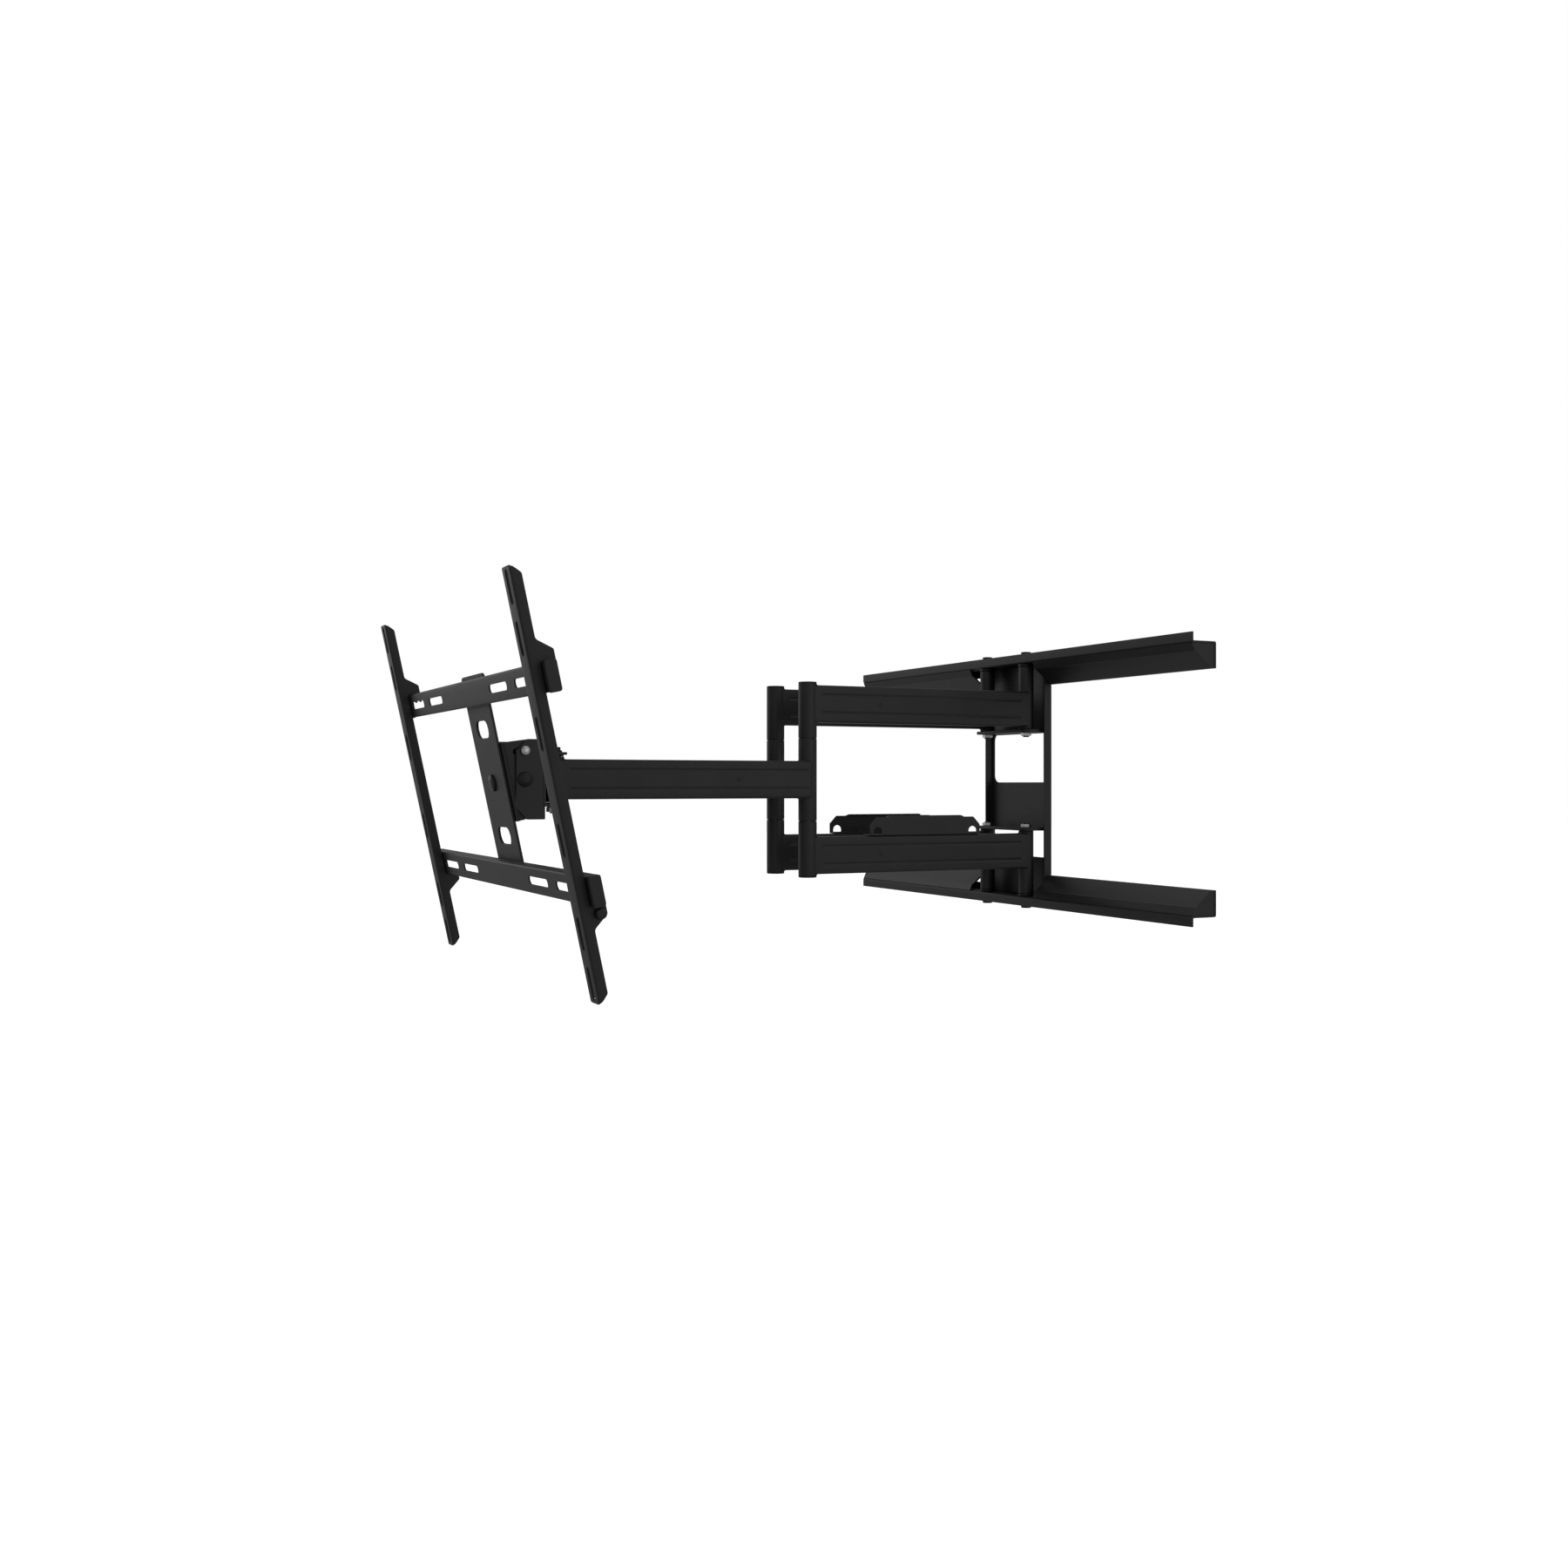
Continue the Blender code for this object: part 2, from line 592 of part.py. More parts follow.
def tilt_bracket(finish, parent):
    half = TILT_BRACKET_HALF_WIDTH
    front = (-TILT_PLATE_OUT - HEAD_PLATE, -TILT_PLATE_OUT)
    cheek = [
        (front[1] - 0.0004, -0.043),
        (0.004, -0.043),
        (0.012, -0.012),
        (0.0145, 0.018),
        (0.0145, 0.043),
        (front[1] - 0.0004, 0.043),
    ]
    solids = [prism(rounded((-half, half), (-YOKE_HALF, YOKE_HALF), 0.004, 3), front, "Y")]
    solids += [prism(cheek, span(side, half - HEAD_PLATE, half - 0.0002), "X") for side in (-1, 1)]
    top = math.pi / 2
    inner = TILT_SLOT_RADIUS - TILT_SLOT_WIDTH / 2
    outer = TILT_SLOT_RADIUS + TILT_SLOT_WIDTH / 2
    first, last = (top - stop for stop in TILT_STOPS)
    ends = [(TILT_SLOT_RADIUS * math.cos(a), TILT_SLOT_RADIUS * math.sin(a)) for a in (first, last)]
    cap = TILT_SLOT_WIDTH / 2
    outline = arc((0, 0), outer, last, first, 6)
    outline += arc(ends[0], cap, first, first + math.pi, 6)[1:]
    outline += arc((0, 0), inner, first, last, 6)[1:]
    outline += arc(ends[1], cap, last + math.pi, last + 2 * math.pi, 6)[1:-1]
    cuts = []
    for side in (-1, 1):
        through = span(side, half - 2 * HEAD_PLATE, half + 0.001)
        cuts.append(prism(circle(BOLT_RADIUS + GAP, sides=COARSE), through, "X"))
        cuts.append(prism(outline, through, "X"))
    cuts.append(prism(circle(BOLT_RADIUS + GAP, sides=COARSE), (front[0] - 0.001, front[1] + 0.001), "Y"))
    return piece("tilt_bracket", finish, parent, (0, 0, 0), solids, [cuts])


def level_plate(finish, parent):
    wide, tall = LEVEL_PLATE
    along = (-LEVEL_PLATE_OUT - HEAD_PLATE, -LEVEL_PLATE_OUT)
    through = (along[0] - 0.001, along[1] + 0.001)
    plate = prism(rounded(about(0, wide), about(0, tall), 0.008), along, "Y")
    cuts = [prism(circle(BOLT_RADIUS + GAP, sides=COARSE), through, "Y")]
    for level in (-1, 1):
        cuts.append(prism(slot(about(0, 0.05), about(level * 0.062, 0.02)), through, "Y"))
    return piece("level_plate", finish, parent, (0, 0, 0), [plate], [cuts])


def level_rivet(finish, parent):
    front = LEVEL_PLATE_OUT + HEAD_PLATE + GAP
    back = TILT_PLATE_OUT - GAP
    solids = [
        prism(circle(BOLT_RADIUS, sides=COARSE), (-front - 0.002, 0.002 - back), "Y"),
        prism(circle(0.010, sides=COARSE), (-front - 0.004, -front), "Y"),
        prism(circle(0.008, sides=COARSE), (-back, 0.004 - back), "Y"),
    ]
    return piece("level_rivet", finish, parent, (0, 0, 0), solids)


def crossbar(name, level, finish, parent):
    """Channel open to the wall, with long slots in its front."""
    low, high = span(level, *CROSSBAR)
    back = -CROSSBAR_OUT
    front = back - CROSSBAR_DEPTH
    sheet = CROSSBAR_SHEET
    section = [
        (back, low),
        (front, low),
        (front, high),
        (back, high),
        (back, high - sheet),
        (front + sheet, high - sheet),
        (front + sheet, low + sheet),
        (back, low + sheet),
    ]
    middle = (low + high) / 2
    through = (front - 0.001, front + 2 * sheet)
    wide, tall = CROSSBAR_SLOT
    slots = [prism(slot(about(x, wide), about(middle, tall)), through, "Y") for x in CROSSBAR_SLOTS]
    return piece(name, finish, parent, (0, 0, 0), [prism(section, about(0, CROSSBAR_LENGTH), "X")], [slots])


def screen_bracket(name, finish, parent, location):
    """Upright channel on the screen's back, hooked over the upper crossbar and caught under the lower one."""
    half = BRACKET_WIDTH / 2
    face = (-SCREEN_OUT, BRACKET_SHEET - SCREEN_OUT)
    rear = -BRACKET_OUT
    over = CROSSBAR[1] + GAP
    behind = GAP - CROSSBAR_OUT
    web = prism(rounded((-half, half), (-BRACKET_HALF, BRACKET_HALF), 0.003, 2), face, "Y")
    edge = face[1] - 0.0004
    tip = behind + 0.003
    flange = [
        (edge, -BRACKET_HALF + 0.003),
        (rear, -BRACKET_HALF + 0.009),
        (rear, -over - 0.022),
        (tip, -over - 0.010),
        (tip, -over),
        (rear, -over),
        (rear, over),
        (behind, over),
        (behind, over - 0.012),
        (tip, over - 0.012),
        (tip, over + 0.010),
        (rear, over + 0.022),
        (rear, BRACKET_HALF - 0.009),
        (edge, BRACKET_HALF - 0.003),
    ]
    solids = [web]
    solids += [prism(flange, span(side, half - BRACKET_SHEET, half - 0.0002), "X") for side in (-1, 1)]
    wide, tall = SCREW_SLOT
    through = (face[0] - 0.001, face[1] + 0.001)
    slots = [prism(slot(about(0, wide), about(z, tall)), through, "Y") for z in SCREW_SLOTS]
    return piece(name, finish, parent, location, solids, [slots])


def clear_scene():
    for thing in list(bpy.data.objects):
        bpy.data.objects.remove(thing, do_unlink=True)


def main():
    clear_scene()
    steel = material("black_powder_coat", (0.022, 0.022, 0.024), 0.5, 0.0)
    finishes = {
        "plastic": material("black_plastic", (0.015, 0.015, 0.016), 0.42, 0.0),
        "nylon": material("dark_nylon", (0.010, 0.010, 0.011), 0.38, 0.0),
        "zinc": material("zinc_plate", (0.62, 0.62, 0.64), 0.3, 1.0),
        "dark_bolt": material("black_oxide", (0.03, 0.03, 0.032), 0.35, 0.8),
    }
    mount = empty("mount_middle", None, (0, 0, MIDDLE))
    centre_plate(steel, mount)
    for level_name, level in (("upper", 1), ("lower", -1)):
        wall_rail(f"{level_name}_wall_rail", level, steel, mount)
        hinge_ear(f"{level_name}_hinge_ear", level, steel, mount)
    for side_name, side in (("left", -1), ("right", 1)):
        hinge = (side * HINGE_X, HINGE_Y, 0)
        elbow = (side * HINGE_X, HINGE_Y - ARM_LENGTH, 0)
        head = (side * HINGE_X, HINGE_Y - 2 * ARM_LENGTH, 0)
        for level_name, level in (("upper", 1), ("lower", -1)):
            where = f"{side_name}_{level_name}"
            rail_cover(f"{where}_rail_cover", side, level, finishes["plastic"], mount)
            wall_bolt(f"{where}_wall_bolt", level, finishes["dark_bolt"], mount, hinge)
            nut = span(level, EAR[0] - GAP - NUT_HEIGHT, EAR[0] - GAP)
            hole = BOLT_RADIUS + GAP
            ring(f"{where}_wall_nut", finishes["zinc"], mount, hinge, hexagon(WALL_NUT_ACROSS), hole, nut)
            washer = span(level, WEB - GAP - WASHER, WEB - GAP)
            ring(f"{where}_wall_washer", finishes["nylon"], mount, hinge, circle(WASHER_RADIUS), hole, washer)
            rear_arm(f"{where}_rear_arm", side, level, steel, mount, hinge)
        cable_guard(f"{side_name}_cable_guard", side, finishes["plastic"], mount, hinge)
        elbow_pieces(side_name, finishes, mount, elbow)
        forearm(f"{side_name}_forearm", side, steel, mount, elbow)
        head_hinge(side_name, finishes, mount, head)
    head_y = HINGE_Y - 2 * ARM_LENGTH
    head_yoke(steel, mount, (0, head_y, 0))
    tilt_y = head_y - TILT_FORWARD
    for side_name, side in (("left", -1), ("right", 1)):
        place = (0, tilt_y, 0)
        tilt_rivet(f"{side_name}_tilt_rivet", side, BOLT_RADIUS, 0.0085, finishes["dark_bolt"], mount, place)
        place = (0, tilt_y, TILT_SLOT_RADIUS)
        tilt_rivet(f"{side_name}_tilt_stop", side, TILT_PIN_RADIUS, 0.0055, finishes["zinc"], mount, place)
    tilt = empty("tilt_axis", mount, (0, tilt_y, 0), REST_TILT)
    tilt_bracket(steel, tilt)
    level_plate(steel, tilt)
    level_rivet(finishes["dark_bolt"], tilt)
    for level_name, level in (("upper", 1), ("lower", -1)):
        crossbar(f"{level_name}_crossbar", level, steel, tilt)
    for side_name, side in (("left", -1), ("right", 1)):
        screen_bracket(f"{side_name}_screen_bracket", steel, tilt, (side * BRACKET_X, 0, 0))


main()
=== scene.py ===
"""Looks of the wall mount: finer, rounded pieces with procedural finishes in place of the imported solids.

Each piece is built in its own frame with the part's numbers, in metres, then put in its place.
"""

import json
import math

import bmesh
import bpy
from mathutils import Matrix, Vector

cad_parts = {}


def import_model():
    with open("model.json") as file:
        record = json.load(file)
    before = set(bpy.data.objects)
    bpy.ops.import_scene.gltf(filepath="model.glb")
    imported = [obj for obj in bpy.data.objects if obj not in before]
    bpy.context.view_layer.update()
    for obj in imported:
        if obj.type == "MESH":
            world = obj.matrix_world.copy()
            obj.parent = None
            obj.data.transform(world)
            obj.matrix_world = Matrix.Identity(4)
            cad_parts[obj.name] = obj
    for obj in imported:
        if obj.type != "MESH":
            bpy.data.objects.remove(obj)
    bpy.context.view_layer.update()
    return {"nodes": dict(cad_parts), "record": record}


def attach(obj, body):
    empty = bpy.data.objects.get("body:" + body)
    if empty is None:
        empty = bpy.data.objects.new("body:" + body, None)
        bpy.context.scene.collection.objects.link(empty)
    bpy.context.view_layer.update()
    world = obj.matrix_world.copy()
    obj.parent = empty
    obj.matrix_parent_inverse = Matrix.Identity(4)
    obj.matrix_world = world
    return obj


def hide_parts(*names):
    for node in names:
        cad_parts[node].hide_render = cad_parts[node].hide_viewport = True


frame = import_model()

SIDES = (("left", -1), ("right", 1))
LEVELS = (("upper", 1), ("lower", -1))
GAP = 0.0003
PAST = 0.001  # how far a cutter or a limit reaches beyond the solid
ROUND = 0.0004  # usual rounding of an edge
BEND = 0.0024  # outer and inner radius where sheet is bent
FOLD = 0.0006

# Wall plate
MIDDLE = 0.034
SHEET = 0.0025
RAIL_HALF = 0.383
RAIL_DEPTH = 0.035
RAIL_EDGE = 0.1247
WEB = 0.1526
LIP_TOP = 0.165
PLATE_HALF = 0.0703
PLATE_FLANGE = 0.0122
WINDOW_HALF = 0.0637
UPPER_WINDOW = (-0.003, 0.0637)
LOWER_WINDOW = (-0.102, -0.065)
LAG_SLOTS = (-0.304, -0.1015, 0.1015, 0.304)
LAG_SLOT = (0.034, 0.009)

# Wall hinges and arms
HINGE_X = 0.046
HINGE_Y = -0.0244
EAR = (0.0625, 0.0665)
WASHER = 0.0033
BOLT_RADIUS = 0.004
BOLT_TOP = 0.1682
BARREL_RADIUS = 0.0098
NUT = (0.012, 0.0042)  # across the flats, height
ARM_LENGTH = 0.3211
REAR_ARM = (0.0700, 0.1158)
REAR_ARM_HALF_WIDTH = 0.0096
FOREARM_HALF_WIDTH = 0.0114
FOREARM_HALF = 0.0228
POST_RADIUS = 0.0113
POST_HALF = 0.1198
POST_CAP = 0.0018
SEAM = 0.0508
PIN_RADIUS = 0.006
GUARD_HALF = 0.08025
GUARD_SHIFT = 0.0022
GUARD_HEIGHT = 0.0250
GUARD_SHEET = 0.0016
TIE_HOLE = (0.0118, 0.0085)
GROOVE = (0.0046, 0.0008)
GROOVE_PLACE = 0.24
GROOVE_START = 0.016
PLUG_RADIUS = 0.0022
PLUG_PLACE = 0.097
BEAD_RADIUS = 0.0008
BEAD_STEP = 0.0004
ELBOW_Y = HINGE_Y - ARM_LENGTH
HEAD_Y = HINGE_Y - 2 * ARM_LENGTH

# Head and screen side
YOKE_HALF_WIDTH = 0.063
YOKE_HALF = 0.045
HEAD_PLATE = 0.003
HEAD_BARREL_HALF = 0.026
HEAD_WASHER = 0.0012
HEAD_PIN_RADIUS = 0.005
HEAD_NUT = (0.016, 0.006)
HEAD_BEND = 0.004
HEAD_FOLD = 0.001
STOP_RADIUS = 0.003
STOP_HEIGHT = 0.032
TILT_HALF_WIDTH = 0.0593
TILT_FORWARD = 0.0385
TILT_Y = HEAD_Y - TILT_FORWARD
REST_TILT = math.radians(12)
TILT_PLATE_OUT = 0.0135
LEVEL_PLATE_OUT = TILT_PLATE_OUT + HEAD_PLATE + GAP
CROSSBAR_OUT = LEVEL_PLATE_OUT + HEAD_PLATE + GAP
CROSSBAR_DEPTH = 0.012
CROSSBAR_HALF = 0.325
CROSSBAR = (0.090, 0.120)
BAR_SLOTS = (-0.245, -0.145, 0.145, 0.245)
BAR_SLOT = (0.07, 0.009)
BRACKET_X = 0.300
BRACKET_HALF = 0.215
SCREEN_SLOTS = (-0.195, -0.145, -0.0525, 0.0525, 0.145, 0.195)
SCREEN_SLOT = (0.0082, 0.034)
SCREEN_OUT = 0.0437

ARC_STEP = math.radians(15)
FLAT = math.radians(0.5)
SHARP = math.radians(34)
SHARP_GROOVES = math.radians(16.5)

BODY_OF = {}
for body_name, members in frame["record"]["behaviour"]["bodies"].items():
    for member in members:
        BODY_OF[member] = body_name
SLOT_OF = {row["node"]: row["material_slot"] for row in frame["record"]["subparts"]}


# Finishes


def new_material(name):
    material = bpy.data.materials.new(name)
    material.use_nodes = True
    tree = material.node_tree
    return material, tree.nodes, tree.links, tree.nodes["Principled BSDF"]


def noise(nodes, links, coordinates, scale, detail=2.0, stretch=None):
    texture = nodes.new("ShaderNodeTexNoise")
    texture.inputs["Scale"].default_value = scale
    texture.inputs["Detail"].default_value = detail
    source = coordinates.outputs["Object"]
    if stretch:
        mapping = nodes.new("ShaderNodeMapping")
        mapping.inputs["Scale"].default_value = stretch
        links.new(source, mapping.inputs["Vector"])
        source = mapping.outputs["Vector"]
    links.new(source, texture.inputs["Vector"])
    return texture.outputs["Fac"]


def spread(nodes, links, value, low, high):
    """The noise's middle range stretched over low to high."""
    scaled = nodes.new("ShaderNodeMapRange")
    scaled.inputs["From Min"].default_value = 0.3
    scaled.inputs["From Max"].default_value = 0.7
    scaled.inputs["To Min"].default_value = low
    scaled.inputs["To Max"].default_value = high
    links.new(value, scaled.inputs["Value"])
    return scaled.outputs["Result"]


def shades(nodes, links, value, dark, light):
    ramp = nodes.new("ShaderNodeValToRGB")
    ramp.color_ramp.elements[0].position = 0.3
    ramp.color_ramp.elements[1].position = 0.7
    ramp.color_ramp.elements[0].color = (*dark, 1)
    ramp.color_ramp.elements[1].color = (*light, 1)
    links.new(value, ramp.inputs["Fac"])
    return ramp.outputs["Color"]


def bump(nodes, links, height, distance):
    node = nodes.new("ShaderNodeBump")
    node.inputs["Distance"].default_value = distance
    links.new(height, node.inputs["Height"])
    return node.outputs["Normal"]


def coated(name, dark, light, rough, grain, depth, metallic=0.0, specular=0.5, stretch=None):
    """A finish with slow colour and gloss variation and a fine surface grain."""
    material, nodes, links, shader = new_material(name)
    coordinates = nodes.new("ShaderNodeTexCoord")
    patches = noise(nodes, links, coordinates, 28, 4, stretch)
    fine = noise(nodes, links, coordinates, grain, 3, stretch)
    links.new(shades(nodes, links, patches, dark, light), shader.inputs["Base Color"])
    links.new(spread(nodes, links, fine, *rough), shader.inputs["Roughness"])
    links.new(bump(nodes, links, fine, depth), shader.inputs["Normal"])
    shader.inputs["Metallic"].default_value = metallic
    shader.inputs["Specular IOR Level"].default_value = specular
    return material


def grey(value):
    return (value, value, value * 1.05)


def finish(name, flat, edge, grain, depth, **more):
    """The finish of flat faces, and of the rounded edges, whose grey is a little lighter as a painted
    highlight and whose surface is a little smoother.

    flat and edge each hold the darkest and lightest grey and the range of roughness.
    """
    return (
        coated(name, grey(flat[0]), grey(flat[1]), flat[2:], grain, depth, **more),
        # The edge copy: a lighter grey that paints a highlight along the rounded edges, with a lower
        # roughness.
        coated(f"{name}_edge", grey(edge[0]), grey(edge[1]), edge[2:], grain, depth / 2, **more),
    )


# Each finish: the flat faces, then the rounded edges, whose lighter greys are a painted highlight.
FINISHES = {
    "black_powder_coat": finish(
        "powder_coat",
        (0.0105, 0.0145, 0.42, 0.52),
        (0.014, 0.020, 0.34, 0.42),
        900,
        0.00003,
        specular=0.42,
    ),
    "black_plastic": finish(
        "moulded_plastic",
        (0.0105, 0.0135, 0.40, 0.48),
        (0.013, 0.017, 0.32, 0.40),
        1500,
        0.00002,
        specular=0.42,
    ),
    "dark_nylon": finish(
        "nylon", (0.005, 0.008, 0.36, 0.44), (0.007, 0.010, 0.30, 0.38), 1200, 0.00001, specular=0.35
    ),
    "zinc_plate": finish(
        "zinc",
        (0.50, 0.64, 0.22, 0.36),
        (0.60, 0.72, 0.18, 0.28),
        700,
        0.00001,
        metallic=1.0,
        stretch=(1, 1, 0.1),
    ),
    "black_oxide": finish(
        "oxide", (0.020, 0.034, 0.30, 0.42), (0.045, 0.07, 0.24, 0.32), 1000, 0.00001, metallic=0.75
    ),
}


# Outlines: closed lists of points in a plane


def rounded_corners(corners, radius):
    """Closed outline through (a, b) or (a, b, radius) corners, each rounded off."""
    points = []
    for i, corner in enumerate(corners):
        size = corner[2] if len(corner) > 2 else radius
        here = Vector(corner[:2])
        back = (Vector(corners[i - 1][:2]) - here).normalized()
        ahead = (Vector(corners[(i + 1) % len(corners)][:2]) - here).normalized()
        angle = back.angle(ahead)
        turn = math.pi - angle
        if size < 1e-6 or turn < math.radians(3):
            points.append(tuple(here))
            continue
        start = here + back * size / math.tan(angle / 2)
        centre = here + (back + ahead).normalized() * size / math.sin(angle / 2)
        way = -1 if back.x * ahead.y - back.y * ahead.x > 0 else 1
        steps = max(2, math.ceil(turn / ARC_STEP))
        first = math.atan2(start.y - centre.y, start.x - centre.x)
        for k in range(steps + 1):
            direction = first + way * turn * k / steps
            points.append((centre.x + size * math.cos(direction), centre.y + size * math.sin(direction)))
    return points


def box_outline(a, b, radius=0.0):
    return rounded_corners([(a[0], b[0]), (a[1], b[0]), (a[1], b[1]), (a[0], b[1])], radius)


def slot_outline(a, b):
    return box_outline(a, b, min(a[1] - a[0], b[1] - b[0]) / 2 - 1e-6)


def circle(radius, centre=(0, 0), sides=48):
    turns = [2 * math.pi * k / sides for k in range(sides)]
    return [(centre[0] + radius * math.cos(t), centre[1] + radius * math.sin(t)) for t in turns]


def about(middle, size):
    return (middle - size / 2, middle + size / 2)


def span(sign, low, high):
    return tuple(sorted((sign * low, sign * high)))


def turned_over(points, sign):
    return [(p[0], sign * p[1], *p[2:]) for p in points]


# Solids: meshes in a piece's own frame


def mesh_of(points, faces):
    form = bmesh.new()
    made = [form.verts.new(p) for p in points]
    for face in faces:
        form.faces.new([made[i] for i in face])
    bmesh.ops.remove_doubles(form, verts=form.verts, dist=1e-7)
    bmesh.ops.dissolve_degenerate(form, edges=form.edges, dist=1e-7)
    bmesh.ops.recalc_face_normals(form, faces=form.faces)
    mesh = bpy.data.meshes.new("solid")
    form.to_mesh(mesh)
    form.free()
    return mesh


def prism(outline, along, axis="Z"):
    order = {"X": (2, 0, 1), "Y": (0, 2, 1), "Z": (0, 1, 2)}[axis]
    points = [[(p[0], p[1], level)[i] for i in order] for level in along for p in outline]
    n = len(outline)
    faces = [list(range(n)), list(range(n, 2 * n))]
    faces += [(i, (i + 1) % n, n + (i + 1) % n, n + i) for i in range(n)]
    return mesh_of(points, faces)


def revolved(outline, sides=48):
    """The closed outline of (radius, height) points turned about Z."""
    points = []
    for k in range(sides):
        turn = 2 * math.pi * k / sides
        points += [(p[0] * math.cos(turn), p[0] * math.sin(turn), p[1]) for p in outline]
    n = len(outline)
    faces = []
    for k in range(sides):
        m = (k + 1) % sides
        faces += [(k * n + i, k * n + (i + 1) % n, m * n + (i + 1) % n, m * n + i) for i in range(n)]
    return mesh_of(points, faces)


def rod(radius, along, edge=ROUND, sides=48):
    low, high = along
    return revolved(rounded_corners([(0, low, 0), (radius, low), (radius, high), (0, high, 0)], edge), sides)


def ring(radius, hole, along, edge=ROUND, sides=48):
    low, high = along
    corners = [(hole, low, edge / 2), (radius, low), (radius, high), (hole, high, edge / 2)]
    return revolved(rounded_corners(corners, edge), sides)


def placed(mesh, *moves):
    for move in moves:
        mesh.transform(move)
    return mesh


def at(x=0.0, y=0.0, z=0.0):
    return Matrix.Translation((x, y, z))


ABOUT_X = Matrix.Rotation(math.pi / 2, 4, "Y")
ABOUT_Y = Matrix.Rotation(math.pi / 2, 4, "X")
TILTED = at(0, TILT_Y, MIDDLE) @ Matrix.Rotation(REST_TILT, 4, "X")


def outward(side):
    """Turns +Z to the outer side."""
    return ABOUT_X if side > 0 else ABOUT_X.inverted()


def upended(level):
    """Turns a piece over for the lower level."""
    return Matrix.Diagonal((1, 1, 1, 1)) if level > 0 else Matrix.Rotation(math.pi, 4, "X")


def joined(meshes):
    form = bmesh.new()
    for mesh in meshes:
        form.from_mesh(mesh)
    whole = bpy.data.meshes.new("solid")
    form.to_mesh(whole)
    form.free()
    return whole


def linked(name, mesh):
    thing = bpy.data.objects.new(name, mesh)
    bpy.context.scene.collection.objects.link(thing)
    return thing


def evaluated_mesh(thing):
    graph = bpy.context.evaluated_depsgraph_get()
    return bpy.data.meshes.new_from_object(thing.evaluated_get(graph))


def carved(adds, cuts=(), keeps=()):
    """One mesh: the added solids joined, limited to each kept solid, with the cuts taken out."""
    base = linked("base", adds[0])
    steps = [("UNION", mesh) for mesh in adds[1:]]
    steps += [("INTERSECT", mesh) for mesh in keeps]
    steps += [("DIFFERENCE", mesh) for mesh in cuts]
    helpers = []
    for operation, mesh in steps:
        helpers.append(linked("helper", mesh))
        step = base.modifiers.new("step", "BOOLEAN")
        step.operation = operation
        step.solver = "EXACT"
        step.object = helpers[-1]
    mesh = evaluated_mesh(base)
    for thing in (base, *helpers):
        bpy.data.objects.remove(thing)
    return mesh


def parted(mesh, axis, places):
    """The mesh, its faces parted across an axis at each place, so that no face holds a whole slot."""
    normal = Vector([float(letter == axis) for letter in "XYZ"])
    form = bmesh.new()
    form.from_mesh(mesh)
    for place in places:
        everything = [*form.verts, *form.edges, *form.faces]
        spot = normal * place
        cut = bmesh.ops.bisect_plane(form, geom=everything, dist=1e-6, plane_co=spot, plane_no=normal)
        for item in cut["geom_cut"]:
            if isinstance(item, bmesh.types.BMEdge):
                item.seam = True
    form.to_mesh(mesh)
    form.free()
    return mesh


# Pieces


def cleaned(mesh, sharp):
    """Whole faces in place of the triangles and strips that carving leaves. Seams stay as edges."""
    form = bmesh.new()
    form.from_mesh(mesh)
    bmesh.ops.remove_doubles(form, verts=form.verts, dist=0.00001)
    bmesh.ops.dissolve_degenerate(form, edges=form.edges, dist=0.00001)
    bmesh.ops.dissolve_limit(form, angle_limit=FLAT, verts=form.verts, edges=form.edges, delimit={"SEAM"})
    loose = [edge for edge in form.edges if not edge.link_faces]
    bmesh.ops.delete(form, geom=loose, context="EDGES")
    form.to_mesh(mesh)
    form.free()
    mesh.materials.clear()
    mesh.shade_smooth()
    mesh.set_sharp_from_angle(angle=sharp)


def add_piece(name, mesh, body, slot, nodes=(), edge=ROUND, segments=2, sharp=SHARP):
    """A finished piece: its sharp edges rounded, its finish on, riding on its body."""
    cleaned(mesh, sharp)
    piece = linked(name, mesh)
    if edge:
        mesh.materials.append(None)
        mesh.materials.append(None)
        step = piece.modifiers.new("edges", "BEVEL")
        step.width = edge
        step.segments = segments
        step.limit_method = "ANGLE"
        step.angle_limit = sharp
        step.use_clamp_overlap = False
        step.harden_normals = True
        # The rounded edge faces take the second finish, a lighter grey that paints a highlight along them.
        step.material = 1
        final = evaluated_mesh(piece)
        piece.modifiers.clear()
        piece.data = final
    piece.data.materials.clear()
    for material in FINISHES[slot]:
        piece.data.materials.append(material)
    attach(piece, body)
    if nodes:
        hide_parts(*nodes)
    return piece


def stand_for(node, mesh, place=at(), **more):
    """A piece in place of one CAD node."""
    return add_piece(f"fine_{node}", placed(mesh, place), BODY_OF[node], SLOT_OF[node], [node], **more)


def refined(node, **more):
    """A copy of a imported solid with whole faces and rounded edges."""
    return stand_for(node, frame["nodes"][node].data.copy(), **more)


# Wall plate


